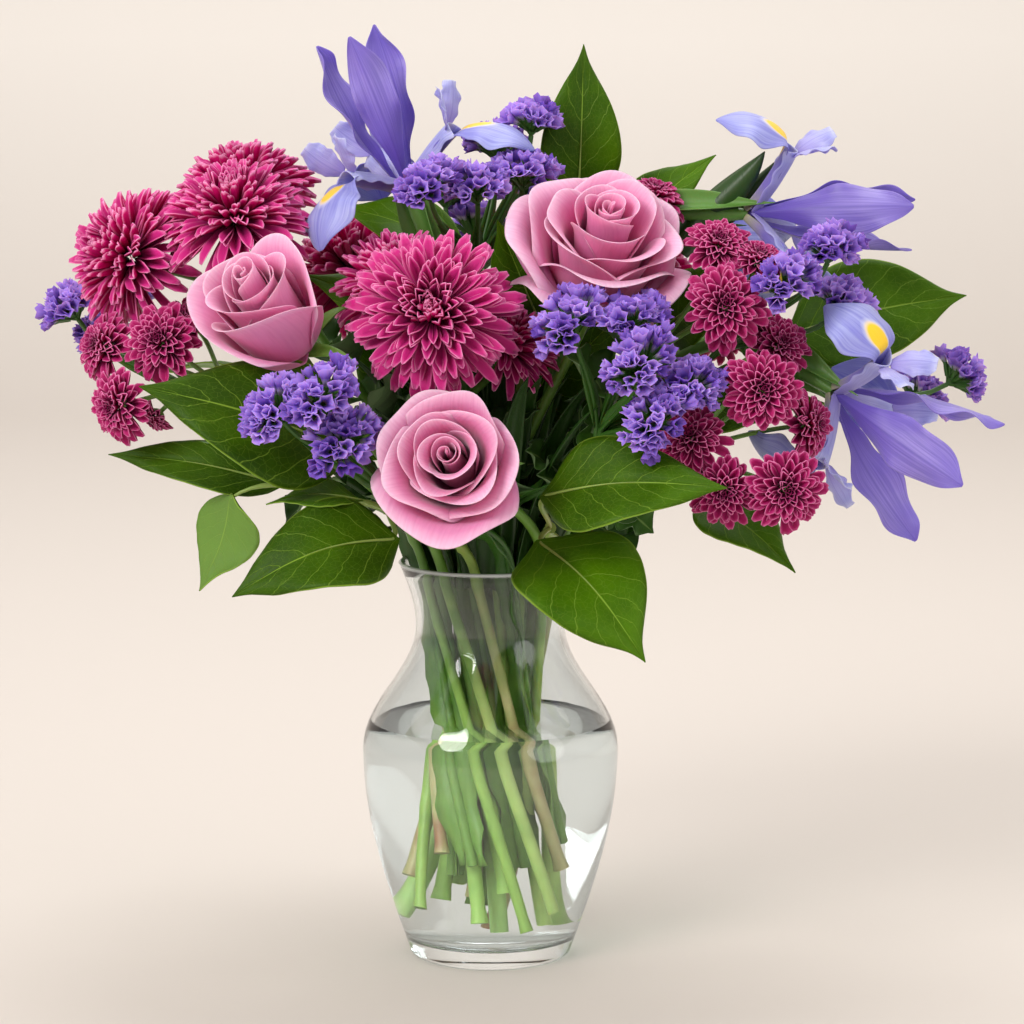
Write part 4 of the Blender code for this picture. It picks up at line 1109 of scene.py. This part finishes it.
fine_veins = add(tree, "Math", (net_vein, margin), operation="MAXIMUM")
all_veins = add(tree, "Math", (main_veins, fine_veins), operation="MAXIMUM")
cloud = add(tree, "TexNoise", {"Vector": place, "Scale": 38.0, "Detail": 3.0})
old_leaf = add(tree, "ValToRGB", (cloud,), stops=((0.3, "#213A00"), (0.7, "#365600")))
young_leaf = add(tree, "ValToRGB", (cloud,), stops=((0.3, "#3A6200"), (0.7, "#527E00")))
blade_colour = add(tree, "MixRGB", (tint_and_shade, old_leaf, young_leaf))
veined = add(tree, "MixRGB", (all_veins, blade_colour, "#86A838"))
pale = add(tree, "Math", (under, 0.55), operation="MULTIPLY")
finished(tree, shader, add(tree, "MixRGB", (pale, veined, "#7C9E50")), all_veins, -0.0005, 0.5)

twig_bark = stem_skin("salal_twig_bark", "#CDC088", "#86A048", blush="#A8704E")
leaf_grid = grid_of(14, 40)
leaf_outline = outline(0.0, 0.56, 0.86, 0.99, 1.0, 0.93, 0.80, 0.61, 0.38, 0.13, 0.0)


def salal_leaf(base, tip, up, width, bow, draw):
    """A leaf that rises and comes down again between its base and its tip, with its petiole's direction."""
    reach = tip - base
    side = reach.cross(Vector(up)).normalized()
    raised = side.cross(reach) * bow
    midrib = [base + reach * t + raised * math.sin(math.pi * t) for t in np.linspace(0, 1, 24)]
    half = LEAF_WIDTH * width / 2
    phase = any_phase(draw)
    tip_over = draw.uniform(-1, 1)
    teeth = lambda along: half * leaf_outline(along) * (1 + 0.012 * np.sin(along * 260))

    def relief(across, along):
        vein = np.abs(((along - 0.28 * np.abs(across)) * LEAF_VEINS + 0.25) % 1 - 0.5)
        quilt = 0.0009 * (vein - 0.25) * np.abs(across) ** 0.5
        ripple = half * 0.10 * np.sin(along * 8 + phase) * np.abs(across) ** 2.5 * np.sign(across)
        curl = -half * 0.16 * np.abs(across) ** 4
        crease = -0.0010 * np.exp(-((across / 0.05) ** 2))
        return quilt + ripple + curl + crease + half * 0.10 * tip_over * across

    return strip(leaf_grid, midrib, teeth, side, cup=0.24, raised=relief), midrib


for name, (fork, growing, leaves) in SALAL.items():
    growing = Vector(growing).normalized()
    draw = random.Random(name)
    routes = [stem_route(name, fork, growing, STEM_RADIUS * 0.95, knots=7)]
    blades = []
    for base, tip, up, width, bow in leaves:
        shape, midrib = salal_leaf(base, tip, up, width, bow, draw)
        blades.append((shape, draw.uniform(0.1, 0.75)))
        to_leaf = (midrib[3] - base).normalized() + (base - fork).normalized()
        leaving = growing + (base - fork).normalized()
        twig = bend(fork - growing * STEM_RADIUS, leaving, midrib[1], to_leaf, 14)
        thinning = [BRANCH_RADIUS * (0.72 - 0.048 * i) for i in range(15)]
        routes.append((twig + midrib[2:14], [BRANCH_RADIUS] * 12 + thinning))
    given(grown(name + "_leaves", leaf_grid, blades, 0.0007, waxy), "salal_leaf", name)
    given(stalks(name + "_twig", routes, twig_bark), "green_stem", name)


# The irises: Dutch irises on thick smooth stems. Each has three falls that arch out and turn down with a
# yellow flash at the knee, three tall standards between them, and three crested style arms over the falls.

HAFT_LENGTH = 0.042
BLADE_LENGTH = 0.040
STANDARD_LENGTH = 0.084
STYLE_LIFT = 0.0065
TUBE_RADIUS = 0.0045
BLADE_CURL = 40  # degrees that a fall's blade turns, to each side of its middle
HAFT_HALF_WIDTH = 0.0064
ARM_HALF_WIDTH = 0.0072
CREST_HALF_WIDTH = 0.0085
SPATHE_HALF_WIDTH = 0.0072
STANDARD_HALF_WIDTHS = {"iris_1": 0.0106, "iris_2": 0.0130, "iris_3": 0.0130}
IRISES = {
    "iris_1": (at(-0.56, -0.05, 2.60), (-0.40, -0.06, 0.91), (-0.73, -0.68, 0.0), 64, 130, (13, 16, 8)),
    "iris_2": (at(1.78, 0.00, 2.46), (1.00, -0.07, 0.00), (0.0, -0.27, 0.96), 62, 165, (14, 12, 6)),
    "iris_3": (at(2.34, -0.70, 1.30), (0.76, -0.41, -0.50), (0.21, -0.57, 0.79), 66, 178, (8, 36, 24)),
}


# Iris leaves: long channelled straps left standing among the stems, darker than the stems themselves
strap_leaf_skin = stem_skin("iris_leaf_skin", "#5E8836", "#23460E")
strap_grid = grid_of(6, 30)
strap_outline = outline(0.8, 0.95, 1.0, 1.0, 0.95, 0.85, 0.65, 0.4, 0.0)
STRAP_LEAVES = 40
draw = random.Random(41)
straps = []
for index in range(STRAP_LEAVES):
    out = Matrix.Rotation(index * GOLDEN, 3, "Z") @ Vector((1, 0, 0))
    share = math.sqrt((index + 0.5) / STRAP_LEAVES)
    foot = Vector((0, 0, VASE_HEIGHT - 0.010)) + out * NECK_RING * share * 0.9
    height = draw.uniform(0.105, 0.150) * (1.1 - 0.45 * share)
    top = foot + out * (0.012 + 0.070 * share) + Vector((0, 0, height))
    leaning = out * (0.4 + 0.8 * share) + Vector((0, 0, 0.5))
    path = bend(foot, Vector((0, 0, 1)) + out * 0.2, top, leaning, 20)
    half = draw.uniform(0.0050, 0.0072)
    side = out.cross(Vector((0, 0, 1))) + out * draw.uniform(-0.8, 0.8)
    width = lambda v: half * strap_outline(v)
    strap = strip(strap_grid, path, width, side, cup=-0.5, twist=draw.uniform(-0.7, 0.7))
    straps.append((strap, draw.uniform(0, 1)))
# Two short ones stand up beside the flower on the right
broad_strap = (at(1.30, 0.00, 2.22), at(1.92, -0.10, 2.90), 0.0085)
narrow_strap = (at(1.50, 0.10, 2.28), at(2.02, 0.02, 2.84), 0.0050)
for low, high, half in (broad_strap, narrow_strap):
    path = bend(low, Vector((0.8, 0, 1)), high, Vector((0.7, 0, 1)), 20)
    width = lambda v: half * strap_outline(v)
    straps.append((strip(strap_grid, path, width, Vector((1, -0.3, 0)), cup=-0.7), 1))
given(grown("iris_leaves", strap_grid, straps, 0.0007, strap_leaf_skin), "green_stem")


def iris_petal(name, stops, vein_colour, signal=False):
    """Iris petal: silky, thin enough to glow, veined lengthwise. `stops` run from its base to its tip."""
    made, tree, shader = principled(
        name,
        Roughness=0.48,
        Subsurface_Weight=0.35,
        Subsurface_Radius=(0.5, 0.4, 1.0),
        Subsurface_Scale=0.003,
        Sheen_Weight=0.15,
    )
    uv, along, off_centre, off_rib = blade_space(tree)
    lengthwise = add(tree, "ValToRGB", (along,), stops=stops)
    fine = add(tree, "Mapping", {"Vector": uv, "Scale": (34, 2.2, 1)})
    vein = add(tree, "TexNoise", {"Vector": fine, "Scale": 1.0, "Detail": 2.0})
    dark = add(tree, "MapRange", {"Value": vein, "From Min": 0.42, "From Max": 0.72, "To Max": 0.55})
    rib = add(tree, "MapRange", {"Value": off_rib, "From Max": 0.05, "To Min": 0.6, "To Max": 0.0})
    lined = add(tree, "Math", (dark, rib), operation="MAXIMUM")
    colour = add(tree, "MixRGB", (lined, lengthwise, vein_colour))
    if signal:
        # The flash is a tongue at the knee: yellow inside, then a white rim
        from_knee = add(tree, "Math", (along, 0.545), operation="SUBTRACT")
        tongue = add(tree, "CombineXYZ", {"X": off_centre, "Y": from_knee})
        shaped = add(tree, "Mapping", {"Vector": tongue, "Scale": (4.8, 5.4, 1)})
        reach = add(tree, "VectorMath", (shaped,), operation="LENGTH").outputs["Value"]
        for size, soft, hue in ((1.05, 0.35, "#DDE2FA"), (0.9, 0.2, "#FFCC10")):
            inside = {"Value": reach, "From Min": size, "From Max": size - soft, "To Min": 0.0, "To Max": 1.0}
            colour = add(tree, "MixRGB", (add(tree, "MapRange", inside), colour, hue))
    finished(tree, shader, colour, vein, 0.0004, 0.5)
    return made


standard_silk = iris_petal(
    "iris_standard_silk", ((0.0, "#4C3C96"), (0.25, "#6850B4"), (0.7, "#9080CC"), (1.0, "#7A68BE")), "#503E9E"
)
fall_silk = iris_petal(
    "iris_fall_silk",
    ((0.0, "#B0AC6C"), (0.2, "#7C6CC0"), (0.5, "#8A8AD2"), (0.8, "#A2A8E4"), (1.0, "#8C90D8")),
    "#5A54C2",
    signal=True,
)
style_silk = iris_petal(
    "iris_style_silk", ((0.0, "#8E80C8"), (0.5, "#A8A6E0"), (0.85, "#A2A6E2"), (1.0, "#C2C6F0")), "#7E78C6"
)
iris_stem_skin = stem_skin("iris_stem_skin", "#C2E68A", "#5E8C3A")

standard_grid = grid_of(12, 32)
style_grid = grid_of(8, 24)
crest_grid = grid_of(8, 12)
spathe_grid = grid_of(8, 24)
standard_outline = outline(0.10, 0.20, 0.32, 0.52, 0.78, 0.96, 1.0, 0.97, 0.86, 0.58, 0.05)
fall_outline = outline(0.45, 0.55, 0.66, 0.78, 0.85, 0.95, 1.6, 2.6, 3.1, 3.15, 2.75, 1.8, 0.2)
style_outline = outline(0.5, 0.7, 0.9, 1.0, 1.05, 1.1, 1.2)
crest_outline = outline(0.35, 0.75, 1.0, 0.9, 0.5)
spathe_outline = outline(0.7, 0.95, 1.0, 0.95, 0.8, 0.5, 0.15, 0.0)


def arched(start, axis, out, stretches, count):
    """Points from a start, each stretch a (length, first angle, last angle) from the axis towards `out`."""
    points = [start]
    for length, first, last in stretches:
        for step in range(count):
            angle = math.radians(first + (last - first) * (step + 0.5) / count)
            points.append(points[-1] + (axis * math.cos(angle) + out * math.sin(angle)) * length / count)
    return points


def ruffled(amount, count, phase, cup_depth=0.0):
    """Relief for a wavy edge, with a sunk midrib."""

    def relief(across, along):
        wave = amount * np.sin(along * count + phase + across) * np.abs(across) ** 2
        return wave * np.clip(along * 3 - 0.5, 0, 1) * np.sign(across) + cup_depth * np.abs(across)

    return relief


def haft_cup(along):
    """A fall is a channel along its haft, and arched over its blade."""
    return 0.75 - 1.15 * np.clip((along - 0.35) / 0.2, 0, 1)


for name, (base, axis, first, spread, hang, leans) in IRISES.items():
    axis = Vector(axis).normalized()
    first = Vector(first)
    first = (first - axis * first.dot(axis)).normalized()
    root = TUBE_RADIUS * 0.75
    draw = random.Random(name)
    arms = []
    crests = []
    for index, lean in enumerate(leans):
        out = Matrix.Rotation(math.radians(120 * index), 3, axis) @ first
        side = out.cross(axis)
        start = base + out * root
        haft = (HAFT_LENGTH, spread - 12, spread + 6)
        blade = (BLADE_LENGTH, hang - BLADE_CURL, hang + BLADE_CURL)
        points = arched(start, axis, out, [haft, blade], 16)
        relief = ruffled(0.0016, 24, any_phase(draw), 0.0006)
        width = lambda v: HAFT_HALF_WIDTH * fall_outline(v)
        petals = [(strip(standard_grid, points, width, side, cup=haft_cup, raised=relief), 0)]
        petal_name = f"{name}_fall_petal_{index + 1}"
        piece = grown(petal_name, standard_grid, petals, 0.0006, fall_silk, smoother=1)
        given(piece, "iris_fall", f"{name}_fall_{index + 1}")

        lifted = base + axis * STYLE_LIFT
        points = arched(lifted, axis, out, [(HAFT_LENGTH * 0.92, spread - 12, spread + 4)], 20)
        relief = ruffled(0.0008, 20, any_phase(draw), -0.0012)
        width = lambda v: ARM_HALF_WIDTH * style_outline(v)
        arms.append((strip(style_grid, points, width, side, cup=-0.7, raised=relief), 0))
        end = points[-1]
        for half in (-1, 1):
            spread_out = (side * half * 0.55 + out * 0.55 + axis * 0.65).normalized()
            crest_side = (side * 0.9 + out * half * 0.35).normalized()
            tip = end + side * half * 0.0030
            path = [
                tip + spread_out * 0.020 * t + (axis - out * 0.5) * 0.006 * t * t - spread_out * 0.002
                for t in np.linspace(0, 1, 12)
            ]
            relief = ruffled(0.0014, 17, any_phase(draw), 0.0008)
            notch = lambda v: CREST_HALF_WIDTH * crest_outline(v) * (1 + 0.10 * np.sin(v * 40))
            crests.append((strip(crest_grid, path, notch, crest_side, cup=0.15, raised=relief), 0))

        between = Matrix.Rotation(math.radians(60), 3, axis) @ out
        start = base + between * root * 0.7 + axis * 0.003
        upright = [(STANDARD_LENGTH * 0.4, lean + 14, lean + 4), (STANDARD_LENGTH * 0.6, lean, lean - 14)]
        points = arched(start, axis, between, upright, 16)
        relief = ruffled(0.0034, 17, any_phase(draw), 0.0022)
        twist = draw.uniform(-0.7, 0.7)
        width = lambda v: STANDARD_HALF_WIDTHS[name] * standard_outline(v)
        face = between.cross(axis)
        petals = [(strip(standard_grid, points, width, face, cup=0.16, raised=relief, twist=twist), 0)]
        petal_name = f"{name}_standard_petal_{index + 1}"
        piece = grown(petal_name, standard_grid, petals, 0.0006, standard_silk, smoother=1)
        given(piece, "iris_standard", f"{name}_standard_{index + 1}")
    styles = joined(
        name + "_style_arms",
        grown(name + "_arms", style_grid, arms, 0.0008, style_silk, smoother=1),
        grown(name + "_crests", crest_grid, crests, 0.0005, style_silk, smoother=1),
    )
    given(styles, "iris_style", name + "_styles")

    points, radii = stem_route(name, base - axis * 0.030, axis, THICK_STEM_RADIUS)
    points += [base - axis * length for length in (0.024, 0.018, 0.010, 0.002, -0.002)]
    radii += [0.0040, 0.0046, 0.0042, 0.0032, 0.0030]
    spathes = []
    for half in (-1, 1):
        side = axis.orthogonal().normalized()
        face = axis.cross(side) * half
        length = 0.068 if half > 0 else 0.054
        steps = np.linspace(0, 1, 20)
        path = [base - axis * (0.052 - length * t) + face * (0.0052 + 0.0035 * t * t) for t in steps]
        width = lambda v: SPATHE_HALF_WIDTH * spathe_outline(v)
        spathes.append((strip(spathe_grid, path, width, side * half, cup=-0.75), 1))
    stem = joined(
        name + "_stem_and_spathe",
        stalks(name + "_stalk", [(points, radii)], iris_stem_skin),
        grown(name + "_spathe", spathe_grid, spathes, 0.0006, iris_stem_skin, smoother=1),
    )
    given(stem, "green_stem", name + "_stem")
